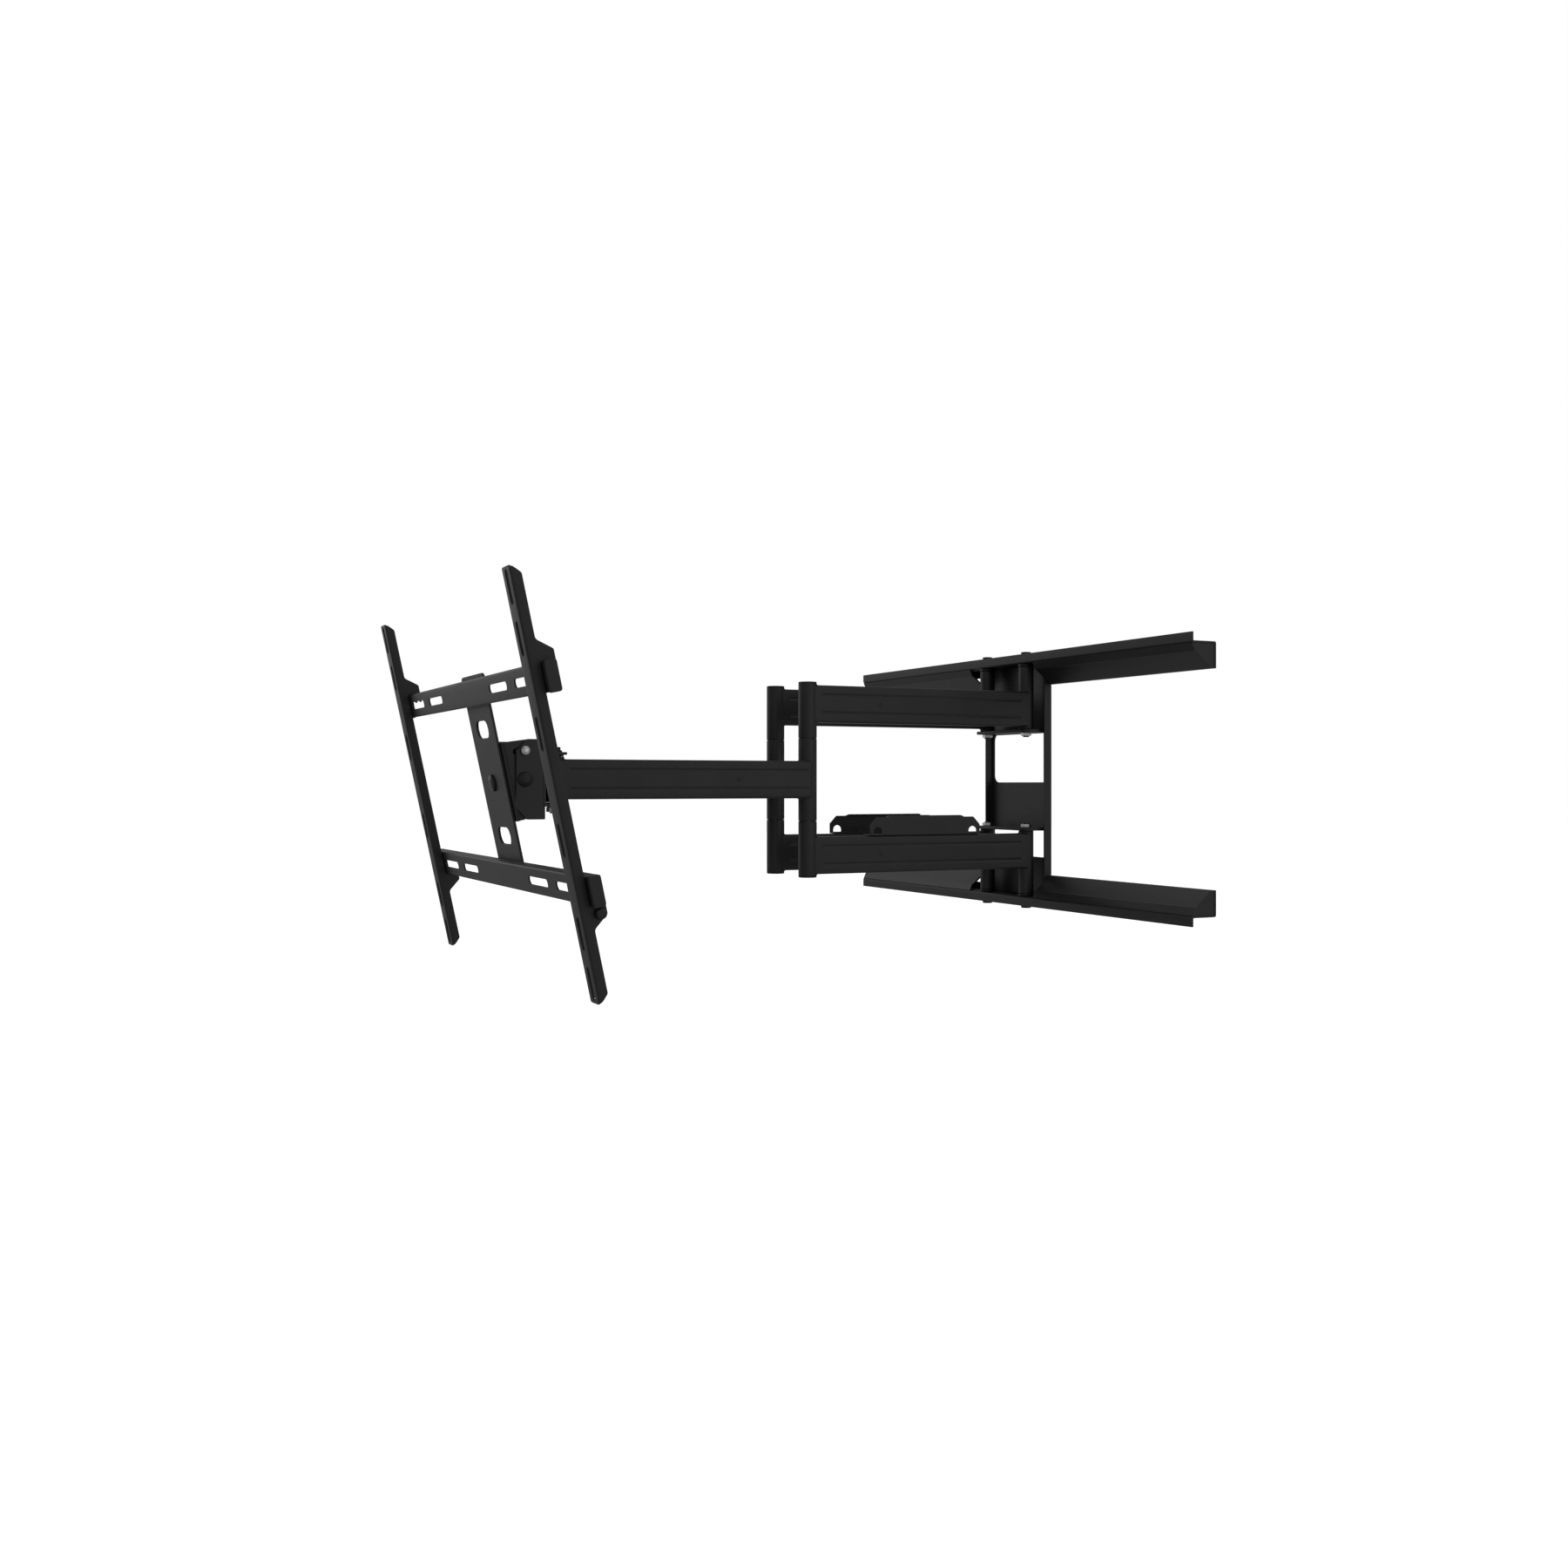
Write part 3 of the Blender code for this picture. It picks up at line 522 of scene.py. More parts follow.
def wall_rail(name, level):
    """Flange against the wall, web standing out from it, and a lip, with the sheet's bends."""
    section = [
        (0, RAIL_EDGE, 0),
        (-SHEET, RAIL_EDGE, 0),
        (-SHEET, WEB, FOLD),
        (-RAIL_DEPTH, WEB, BEND),
        (-RAIL_DEPTH, LIP_TOP, 0),
        (SHEET - RAIL_DEPTH, LIP_TOP, 0),
        (SHEET - RAIL_DEPTH, WEB + SHEET, FOLD),
        (0, WEB + SHEET, BEND),
    ]
    outline = turned_over(rounded_corners(section, 0), level)
    middle = level * (RAIL_EDGE + WEB) / 2
    long, high = LAG_SLOT
    slots = [slot_outline(about(x, long), about(middle, high)) for x in LAG_SLOTS]
    cuts = [prism(slot, (-2 * SHEET, 0.003), "Y") for slot in slots]
    for _, side in SIDES:
        hole = circle(BOLT_RADIUS + GAP, (side * HINGE_X, HINGE_Y))
        cuts.append(prism(hole, span(level, WEB - SHEET, WEB + 2 * SHEET)))
    rail = prism(outline, (-RAIL_HALF, RAIL_HALF), "X")
    mesh = parted(carved([rail], [joined(cuts)]), "X", (*LAG_SLOTS, -HINGE_X, HINGE_X))
    stand_for(name, mesh, at(0, 0, MIDDLE))


def rail_cover(name, side, level):
    """Trim shell from the lip to the rail's edge, with a crease below the lip, closed at its outer end."""
    back = -SHEET - GAP
    wall = 0.0016
    profile = [
        (-0.0345, WEB, 0),
        (-0.0304, 0.1433, 0.0007),
        (-0.0288, 0.1433, 0.0005),
        (-0.0073, RAIL_EDGE, 0.0008),
    ]
    outer = rounded_corners([*profile, (back, RAIL_EDGE, 0), (back, WEB, 0)], 0)
    inner = [(a + wall, b + wall) for a, b, _ in profile] + [(0, RAIL_EDGE + wall), (0, WEB + wall)]
    start, end = 0.075, RAIL_HALF - 0.0004
    shell = prism(turned_over(outer, level), span(side, start, end), "X")
    hollow = prism(turned_over(inner, level), span(side, start - 0.002, end - 0.002), "X")
    stand_for(name, carved([shell], [hollow]), at(0, 0, MIDDLE), edge=0.0003)


def centre_plate():
    """Channel with two windows. Past the hinge ears it is thicker and laps the rails."""
    half = RAIL_EDGE - GAP
    end = WEB - GAP
    lap = -SHEET - GAP
    thick = lap - SHEET
    foot = EAR[1] + GAP
    deep = -PLATE_FLANGE
    section = [
        (-PLATE_HALF, 0, BEND),
        (PLATE_HALF, 0, BEND),
        (PLATE_HALF, deep, 0),
        (-PLATE_HALF, deep, 0),
    ]
    pocket = [(deep - PAST, end + PAST), (thick, end + PAST), (thick, foot), (-SHEET, foot)]
    pocket += turned_over(reversed(pocket), -1)
    inside = PLATE_HALF - SHEET
    cuts = [prism(pocket, (-inside, inside), "X")]
    for _, level in LEVELS:
        cuts.append(prism(box_outline((-0.08, 0.08), (lap, PAST)), span(level, half, end + PAST)))
    for heights, radius in ((UPPER_WINDOW, 0.010), (LOWER_WINDOW, 0.005)):
        window = box_outline((-WINDOW_HALF, WINDOW_HALF), heights, radius)
        cuts.append(prism(window, (2 * thick, 0.003), "Y"))
    block = prism(rounded_corners(section, 0), (-end, end))
    stand_for("centre_plate", carved([block], cuts), at(0, 0, MIDDLE))


def hex_nut(across, height, hole):
    """Hexagon with its corners turned off on both faces."""
    flats = across / 2
    corners = flats / math.cos(math.pi / 6)
    hexagon = prism(circle(corners, sides=6), (0, height))
    drop = (corners - flats) * 0.55
    face = flats * 0.97
    profile = [(0, 0), (face, 0), (corners, drop), (corners, height - drop), (face, height), (0, height)]
    bore = prism(circle(hole, sides=32), (-PAST, height + PAST))
    return carved([hexagon], [bore], [revolved(profile)])


def socket_bolt(shank, tip, seat, flange, head, top):
    """Button-flanged cap bolt with a hexagon socket, along +Z."""
    profile = [
        (0, tip, 0),
        (shank, tip, 0.0006),
        (shank, seat, 0),
        (flange, seat, 0.0003),
        (flange, seat + 0.0018, 0.0009),
        (head, seat + 0.0022, 0.0003),
        (head, top, 0.0006),
        (0, top, 0),
    ]
    socket = prism(circle(head * 0.55, sides=6), (top - 0.0026, top + PAST))
    return carved([revolved(rounded_corners(profile, 0))], [socket])


def wall_hinges():
    for side_name, side in SIDES:
        for level_name, level in LEVELS:
            where = f"{side_name}_{level_name}"
            place = at(side * HINGE_X, HINGE_Y, MIDDLE) @ upended(level)
            seat = WEB + SHEET + GAP
            nut_low = EAR[0] - GAP - NUT[1]
            bolt = socket_bolt(BOLT_RADIUS, nut_low - 0.0015, seat, 0.0078, 0.0065, BOLT_TOP)
            stand_for(f"{where}_wall_bolt", bolt, place, edge=0.0002)
            nut = placed(hex_nut(*NUT, BOLT_RADIUS + GAP), at(0, 0, nut_low))
            stand_for(f"{where}_wall_nut", nut, place, edge=0.0002)
            washer = ring(0.0104, BOLT_RADIUS + GAP, (WEB - GAP - WASHER, WEB - GAP), 0.0008)
            stand_for(f"{where}_wall_washer", washer, place, edge=0)


# Arms


def grooves(low, high, half_width, ends):
    """Cutters for the two long V grooves in each side face of an arm."""
    middle = (low + high) / 2
    reach = GROOVE_PLACE * (high - low)
    wide, deep = GROOVE
    cuts = []
    for _, side in SIDES:
        for height in (middle - reach, middle + reach):
            mouth = side * (half_width + deep)
            outline = [(side * (half_width - deep), height), (mouth, height - wide), (mouth, height + wide)]
            cuts.append(prism(outline, ends, "Y"))
    return cuts


def bead(path, radius):
    """A weld bead along the path, rippled as it was laid."""
    points = [Vector(p) for p in path]
    sides = 10
    rings = []
    run = 0.0
    for i, here in enumerate(points):
        ahead = (points[min(i + 1, len(points) - 1)] - points[max(i - 1, 0)]).normalized()
        across = ahead.cross(Vector((0, 0, 1))).normalized()
        upward = across.cross(ahead)
        if i:
            run += (here - points[i - 1]).length
        end = min(i, len(points) - 1 - i)
        ripple = 1 + 0.16 * math.cos(2 * math.pi * run / 0.0016)
        size = radius * ripple * min(1.0, 0.45 + 0.25 * end)
        for k in range(sides):
            turn = 2 * math.pi * k / sides
            rings.append(here + across * size * math.cos(turn) + upward * size * math.sin(turn))
    count = len(points)
    faces = [list(range(sides)), list(range((count - 1) * sides, count * sides))]
    for i in range(count - 1):
        for k in range(sides):
            a, b = i * sides + k, i * sides + (k + 1) % sides
            faces.append((a, b, b + sides, a + sides))
    return mesh_of(rings, faces)


def bead_arc(x, y, z, radius, start, end):
    """Bead round an upright barrel, between two directions in degrees."""
    steps = max(8, int(radius * math.radians(end - start) / BEAD_STEP))
    turns = [math.radians(start + (end - start) * i / steps) for i in range(steps + 1)]
    path = [(x + radius * math.cos(t), y + radius * math.sin(t), z) for t in turns]
    return bead(path, BEAD_RADIUS)


def bead_line(start, end):
    first, last = Vector(start), Vector(end)
    steps = int((last - first).length / BEAD_STEP)
    return bead([first.lerp(last, i / steps) for i in range(steps + 1)], BEAD_RADIUS)


def cable_guard(name, side):
    """Strip with an upright wall that folds in over the cables, and a tab with a tie hole at each end."""
    face = REAR_ARM_HALF_WIDTH
    sheet = GUARD_SHEET
    high = GUARD_HEIGHT
    tab = high - 0.0020
    fold = face - 0.0055
    section = [
        (face, GAP, 0.0008),
        (face, high, 0.0020),
        (fold, high, 0.0004),
        (fold, high - sheet, 0.0004),
        (face - sheet, high - sheet, FOLD),
        (face - sheet, GAP + sheet, FOLD),
        (0.002 - face, GAP + sheet, 0.0004),
        (0.002 - face, GAP, 0.0004),
    ]
    strip = prism([(side * x, z) for x, z in rounded_corners(section, 0)], (-GUARD_HALF, GUARD_HALF), "Y")
    end = [
        (GUARD_HALF, -PAST, 0),
        (GUARD_HALF, tab - 0.0100, 0.0015),
        (GUARD_HALF - 0.0095, tab, 0.0015),
        (GUARD_HALF - 0.0235, tab, 0.0015),
        (GUARD_HALF - 0.0295, high + PAST, 0),
    ]
    outline = end + [(-y, z, radius) for y, z, radius in reversed(end)]
    keep = prism(rounded_corners(outline, 0), (-0.02, 0.02), "X")
    wide, tall = TIE_HOLE
    base = GAP + sheet + 0.0004
    holes = []
    for _, way in SIDES:
        middle = way * (GUARD_HALF - 0.0108)
        corners = [
            (middle - wide / 2, base, 0.0008),
            (middle + wide / 2, base, 0.0008),
            (middle + wide / 2, base + tall, 0.0058),
            (middle - wide / 2, base + tall, 0.0058),
        ]
        holes.append(prism(rounded_corners(corners, 0), span(side, face - 2 * sheet, face + PAST), "X"))
    place = at(side * HINGE_X, HINGE_Y + GUARD_SHIFT - ARM_LENGTH / 2, MIDDLE - REAR_ARM[0])
    stand_for(name, carved([strip], [joined(holes)], [keep]), place, edge=0.0003)


def welds():
    """Beads where the arms meet their barrels, and under the hinge ears."""
    coat = "black_powder_coat"
    for side_name, side in SIDES:
        x = side * HINGE_X
        rear = []
        front = []
        for _, level in LEVELS:
            for height in REAR_ARM:
                z = MIDDLE + level * height
                rear.append(bead_arc(x, HINGE_Y, z, 0.0100, 195, 345))
                rear.append(bead_arc(x, ELBOW_Y, z, 0.0115, 32, 148))
            z = MIDDLE + level * FOREARM_HALF
            front.append(bead_arc(x, ELBOW_Y, z, 0.0115, 186, 354))
            front.append(bead_arc(x, HEAD_Y, z, 0.0115, 6, 174))
        add_piece(f"{side_name}_rear_welds", joined(rear), f"{side_name}_rear_arms", coat, edge=0)
        add_piece(f"{side_name}_fore_welds", joined(front), f"{side_name}_forearm_body", coat, edge=0)
    lines = []
    for _, level in LEVELS:
        z = MIDDLE + level * EAR[0]
        lines.append(bead_line((-0.056, -SHEET - 0.0002, z), (0.056, -SHEET - 0.0002, z)))
    add_piece("ear_welds", joined(lines), "wall_plate", coat, edge=0)


def small_parts():
    """Plugs in the arms' small holes, and the screws that hold the cable guards."""
    for side_name, side in SIDES:
        turn = outward(side)
        arms = f"{side_name}_rear_arms"
        face = HINGE_X + REAR_ARM_HALF_WIDTH
        middle = sum(REAR_ARM) / 2
        plug = [(0, -0.0020, 0), (0.00212, -0.0020, 0), (0.00212, -0.0002, 0.0003), (0, -0.0001, 0)]
        for level_name, level in LEVELS:
            place = at(side * face, ELBOW_Y + PLUG_PLACE, MIDDLE + level * middle)
            mesh = placed(revolved(rounded_corners(plug, 0), 32), turn, place)
            add_piece(f"{side_name}_{level_name}_arm_plug", mesh, arms, "black_plastic", edge=0)
        place = at(side * (HINGE_X + FOREARM_HALF_WIDTH), ELBOW_Y - PLUG_PLACE, MIDDLE)
        mesh = placed(revolved(rounded_corners(plug, 0), 32), turn, place)
        add_piece(f"{side_name}_forearm_plug", mesh, f"{side_name}_forearm_body", "black_plastic", edge=0)
        top = MIDDLE - REAR_ARM[0] + 2 * GAP + GUARD_SHEET
        pan = [
            (0, -0.001, 0),
            (0.0016, -0.001, 0),
            (0.0016, 0, 0),
            (0.0032, 0, 0.0002),
            (0.0030, 0.0013, 0.0007),
            (0, 0.0016, 0),
        ]
        cross = prism(box_outline((-0.0018, 0.0018), (-0.0004, 0.0004)), (0.0007, 0.002))
        other = placed(cross.copy(), Matrix.Rotation(math.pi / 2, 4, "Z"))
        head = carved([revolved(rounded_corners(pan, 0), 32)], [cross, other])
        screws = []
        for along in (-0.048, 0.048):
            screws.append(placed(head.copy(), at(side * HINGE_X, HINGE_Y - 0.158 + along, top)))
        add_piece(f"{side_name}_guard_screws", joined(screws), arms, "black_oxide", edge=0)


def rear_arm(name, side, level):
    low, high = REAR_ARM
    tall = high - low
    post_top = POST_HALF - POST_CAP - GAP
    barrel = (EAR[1] + GAP, WEB - GAP - WASHER - GAP)
    adds = [
        prism(box_outline(about(0, 2 * REAR_ARM_HALF_WIDTH), (low, high), BEND), (-ARM_LENGTH, 0), "Y"),
        rod(BARREL_RADIUS, barrel, 0.0007),
        placed(rod(POST_RADIUS, (SEAM + 0.0005, post_top), 0.0003, 64), at(0, -ARM_LENGTH)),
    ]
    bores = [
        prism(circle(BOLT_RADIUS + GAP, sides=32), (barrel[0] - PAST, barrel[1] + PAST)),
        prism(circle(PIN_RADIUS + GAP, (0, -ARM_LENGTH), 32), (SEAM - PAST, POST_HALF)),
    ]
    ends = (GROOVE_START - ARM_LENGTH, -0.014)
    bores += grooves(low, high, REAR_ARM_HALF_WIDTH, ends)
    hole = circle(PLUG_RADIUS, (PLUG_PLACE - ARM_LENGTH, low + tall / 2), 32)
    face = REAR_ARM_HALF_WIDTH
    bores.append(prism(hole, span(side, face - 0.0022, face + PAST), "X"))
    mesh = carved(adds, [joined(bores)])
    place = at(side * HINGE_X, HINGE_Y, MIDDLE) @ Matrix.Diagonal((1, 1, level, 1))
    if level < 0:
        mesh.flip_normals()
    stand_for(name, mesh, place, sharp=SHARP_GROOVES)


def forearm(name, side):
    face = FOREARM_HALF_WIDTH
    section = box_outline(about(0, 2 * face), about(0, 2 * FOREARM_HALF), BEND)
    adds = [
        prism(section, (-ARM_LENGTH, 0), "Y"),
        rod(POST_RADIUS, about(0, 2 * (SEAM - 0.0008)), 0.0003, 64),
        placed(rod(POST_RADIUS, about(0, 2 * HEAD_BARREL_HALF), 0.0007, 64), at(0, -ARM_LENGTH)),
    ]
    bores = [
        prism(circle(PIN_RADIUS + GAP, sides=32), (-SEAM - PAST, SEAM + PAST)),
        prism(circle(HEAD_PIN_RADIUS + GAP, (0, -ARM_LENGTH), 32), about(0, 2 * HEAD_BARREL_HALF + 2 * PAST)),
    ]
    ends = (GROOVE_START - ARM_LENGTH, -0.0035)
    bores += grooves(-FOREARM_HALF, FOREARM_HALF, face, ends)
    hole = circle(PLUG_RADIUS, (-PLUG_PLACE, 0), 32)
    bores.append(prism(hole, span(side, face - 0.0022, face + PAST), "X"))
    place = at(side * HINGE_X, ELBOW_Y, MIDDLE)
    stand_for(name, carved(adds, [joined(bores)]), place, sharp=SHARP_GROOVES)


def elbow(side_name, side):
    place = at(side * HINGE_X, ELBOW_Y, MIDDLE)
    cap_low = POST_HALF - POST_CAP
    pin = rod(PIN_RADIUS, (2 * GAP - cap_low, cap_low - 2 * GAP))
    stand_for(f"{side_name}_elbow_pin", pin, place, edge=0)
    for level_name, level in LEVELS:
        turn = upended(level)
        profile = [
            (0, cap_low, 0),
            (POST_RADIUS, cap_low, 0.0002),
            (POST_RADIUS, POST_HALF, 0.0009),
            (0.0075, POST_HALF, 0.0003),
            (0.0070, POST_HALF - 0.0005, 0.0003),
            (0, POST_HALF - 0.0005, 0),
        ]
        cap = revolved(rounded_corners(profile, 0), 64)
        stand_for(f"{side_name}_{level_name}_post_cap", cap, place @ turn, edge=0)
        washer = ring(POST_RADIUS - GAP, PIN_RADIUS + GAP, (SEAM - 0.0005, SEAM + 0.0002), 0.0001, 64)
        stand_for(f"{side_name}_{level_name}_elbow_washer", washer, place @ turn, edge=0)


# Head


def head_yoke():
    """Plate across the head with ears behind it for the forearms and cheeks before it for the tilt axis."""
    half = YOKE_HALF_WIDTH
    thick = HEAD_PLATE
    near, far = -0.0145, -0.0145 - thick
    nose = -TILT_FORWARD - 0.010
    tail = 0.013
    ear_low = HEAD_BARREL_HALF + HEAD_WASHER + 2 * GAP
    ear_high = ear_low + thick
    fork = [
        (half, nose, 0),
        (half, near, HEAD_BEND),
        (-half, near, HEAD_BEND),
        (-half, nose, 0),
        (thick - half, nose, 0),
        (thick - half, far, HEAD_FOLD),
        (half - thick, far, HEAD_FOLD),
        (half - thick, nose, 0),
    ]
    cheek = [
        (near + PAST, -YOKE_HALF),
        (near + PAST, YOKE_HALF),
        (nose + 0.012, YOKE_HALF),
        (nose, YOKE_HALF - 0.014),
        (nose, 0.014 - YOKE_HALF),
        (nose + 0.012, -YOKE_HALF),
    ]
    forward = carved(
        [prism(rounded_corners(fork, 0), (-YOKE_HALF, YOKE_HALF))],
        keeps=[prism(rounded_corners(cheek, 0.003), (-half - PAST, half + PAST), "X")],
    )
    shelf = [
        (tail, ear_high, 0),
        (far, ear_high, HEAD_BEND),
        (far, -ear_high, HEAD_BEND),
        (tail, -ear_high, 0),
        (tail, -ear_low, 0),
        (near, -ear_low, HEAD_FOLD),
        (near, ear_low, HEAD_FOLD),
        (tail, ear_low, 0),
    ]
    ear = [(half, far - PAST, 0), (half, tail, 0.011), (-half, tail, 0.011), (-half, far - PAST, 0)]
    backward = carved(
        [prism(rounded_corners(shelf, 0), (-half, half), "X")],
        keeps=[prism(rounded_corners(ear, 0), (-0.05, 0.05))],
    )
    cuts = [prism(box_outline((-0.022, 0.022), (-0.016, 0.016), 0.006), (far - PAST, near + PAST), "Y")]
    for _, side in SIDES:
        cuts.append(prism(circle(HEAD_PIN_RADIUS + GAP, (side * HINGE_X, 0)), (-0.05, 0.05)))
        through = span(side, half - 2 * thick, half + PAST)
        cuts.append(prism(circle(BOLT_RADIUS + GAP, (-TILT_FORWARD, 0)), through, "X"))
        cuts.append(prism(circle(STOP_RADIUS + GAP, (-TILT_FORWARD, STOP_HEIGHT)), through, "X"))
    stand_for("head_yoke", carved([forward, backward], [joined(cuts)]), at(0, HEAD_Y, MIDDLE), edge=0.0005)


def head_hinges():
    """Bolts of the forearms' front barrels, and the rivets and stop pins of the tilt axis."""
    rivets = (
        ("tilt_rivet", BOLT_RADIUS, 0.0085, 0.0),
        ("tilt_stop", STOP_RADIUS, 0.0055, STOP_HEIGHT),
    )
    for side_name, side in SIDES:
        place = at(side * HINGE_X, HEAD_Y, MIDDLE)
        washer_low = HEAD_BARREL_HALF + GAP
        seat = washer_low + HEAD_WASHER + GAP + HEAD_PLATE + GAP
        bolt = socket_bolt(HEAD_PIN_RADIUS, -seat - 0.0075, seat, 0.009, 0.0072, seat + 0.0055)
        stand_for(f"{side_name}_head_bolt", bolt, place, edge=0.0002)
        nut = placed(hex_nut(*HEAD_NUT, HEAD_PIN_RADIUS + GAP), at(0, 0, -seat - HEAD_NUT[1]))
        stand_for(f"{side_name}_head_nut", nut, place, edge=0.0002)
        for level_name, level in LEVELS:
            along = span(level, washer_low, washer_low + HEAD_WASHER)
            washer = ring(0.011, HEAD_PIN_RADIUS + GAP, along)
            stand_for(f"{side_name}_{level_name}_head_washer", washer, place, edge=0)
        for name, radius, head, height in rivets:
            outside = YOKE_HALF_WIDTH + GAP
            inside = TILT_HALF_WIDTH - HEAD_PLATE - GAP
            profile = [
                (0, inside - 0.004, 0),
                (radius + 0.0025, inside - 0.004, 0.0012),
                (radius + 0.0025, inside, 0.0002),
                (radius, inside, 0),
                (radius, outside, 0),
                (head, outside, 0.0004),
                (head * 0.93, outside + 0.0030, 0.0016),
                (head * 0.45, outside + 0.0045, 0.0010),
                (0, outside + 0.0045, 0),
            ]
            turn = outward(side)
            mesh = placed(revolved(rounded_corners(profile, 0)), turn, at(0, TILT_Y, MIDDLE + height))
            stand_for(f"{side_name}_{name}", mesh, edge=0)


# Screen side, in the frame of the tilt axis: -Y points to the screen


def arc(radius, start, end, steps=16, centre=(0, 0)):
    turns = [start + (end - start) * i / steps for i in range(steps + 1)]
    return [(centre[0] + radius * math.cos(t), centre[1] + radius * math.sin(t)) for t in turns]


def tilt_bracket():
    half = TILT_HALF_WIDTH
    back = -TILT_PLATE_OUT
    front = back - HEAD_PLATE
    tail = 0.0145
    fork = [
        (half, tail, 0),
        (half, front, HEAD_BEND),
        (-half, front, HEAD_BEND),
        (-half, tail, 0),
        (HEAD_PLATE - half, tail, 0),
        (HEAD_PLATE - half, back, HEAD_FOLD),
        (half - HEAD_PLATE, back, HEAD_FOLD),
        (half - HEAD_PLATE, tail, 0),
    ]
    cheek = [
        (front - PAST, -YOKE_HALF, 0),
        (back - 0.0004, -YOKE_HALF, 0.001),
        (0.004, -0.043, 0.004),
        (0.012, -0.012, 0.006),
        (tail, 0.018, 0.006),
        (tail, 0.043, 0.004),
        (back - 0.0004, YOKE_HALF, 0.001),
        (front - PAST, YOKE_HALF, 0),
    ]
    front_outline = box_outline((-half - 0.0001, half + 0.0001), (-YOKE_HALF, YOKE_HALF), 0.005)
    keeps = [
        prism(rounded_corners(cheek, 0), (-half - PAST, half + PAST), "X"),
        prism(front_outline, (-0.03, 0.03), "Y"),
    ]
    first, last = (math.pi / 2 - math.radians(stop) for stop in (-5.5, 15.5))
    reach, cap = STOP_HEIGHT, STOP_RADIUS + 0.0004
    ends = [(reach * math.cos(t), reach * math.sin(t)) for t in (first, last)]
    outline = arc(reach + cap, last, first)
    outline += arc(cap, first, first + math.pi, 12, ends[0])[1:]
    outline += arc(reach - cap, first, last)[1:]
    outline += arc(cap, last + math.pi, last + 2 * math.pi, 12, ends[1])[1:-1]
    cuts = [prism(circle(BOLT_RADIUS + GAP), (front - PAST, back + PAST), "Y")]
    for _, side in SIDES:
        through = span(side, half - 2 * HEAD_PLATE, half + PAST)
        cuts.append(prism(circle(BOLT_RADIUS + GAP), through, "X"))
        cuts.append(prism(outline, through, "X"))
    mesh = carved([prism(rounded_corners(fork, 0), (-YOKE_HALF, YOKE_HALF))], [joined(cuts)], keeps)
    stand_for("tilt_bracket", mesh, TILTED, edge=0.0005)


def level_rivet():
    front = LEVEL_PLATE_OUT + HEAD_PLATE + GAP
    back = TILT_PLATE_OUT - GAP
    profile = [
        (0, back - 0.004, 0),
        (0.008, back - 0.004, 0.0012),
        (0.008, back, 0.0003),
        (BOLT_RADIUS, back, 0),
        (BOLT_RADIUS, front, 0),
        (0.010, front, 0.0003),
        (0.0094, front + 0.0026, 0.0014),
        (0.004, front + 0.0039, 0.001),
        (0, front + 0.0039, 0),
    ]
    stand_for("level_rivet", placed(revolved(rounded_corners(profile, 0)), ABOUT_Y), TILTED, edge=0)


def crossbar(name, level):
    """Channel open to the wall, with long slots in its front and a moulded cap on each end."""
    low, high = span(level, *CROSSBAR)
    back = -CROSSBAR_OUT
    front = back - CROSSBAR_DEPTH
    sheet = 0.002
    section = [
        (back, low, 0),
        (front, low, BEND),
        (front, high, BEND),
        (back, high, 0),
        (back, high - sheet, 0),
        (front + sheet, high - sheet, FOLD),
        (front + sheet, low + sheet, FOLD),
        (back, low + sheet, 0),
    ]
    middle = (low + high) / 2
    through = (front - PAST, front + 2 * sheet)
    long, tall = BAR_SLOT
    cuts = [prism(slot_outline(about(x, long), about(middle, tall)), through, "Y") for x in BAR_SLOTS]
    bar = prism(rounded_corners(section, 0), (-CROSSBAR_HALF, CROSSBAR_HALF), "X")
    stand_for(name, parted(carved([bar], [joined(cuts)]), "X", BAR_SLOTS), TILTED)
    outline = box_outline((front - 0.0008, back), (low - 0.0008, high + 0.0008), 0.003)
    for side_name, side in SIDES:
        cap = prism(outline, span(side, CROSSBAR_HALF - 0.005, CROSSBAR_HALF + 0.0018), "X")
        label = f"{side_name}_{name}_cap"
        add_piece(label, placed(cap, TILTED), "level_frame", "black_plastic", edge=0.0009, segments=3)


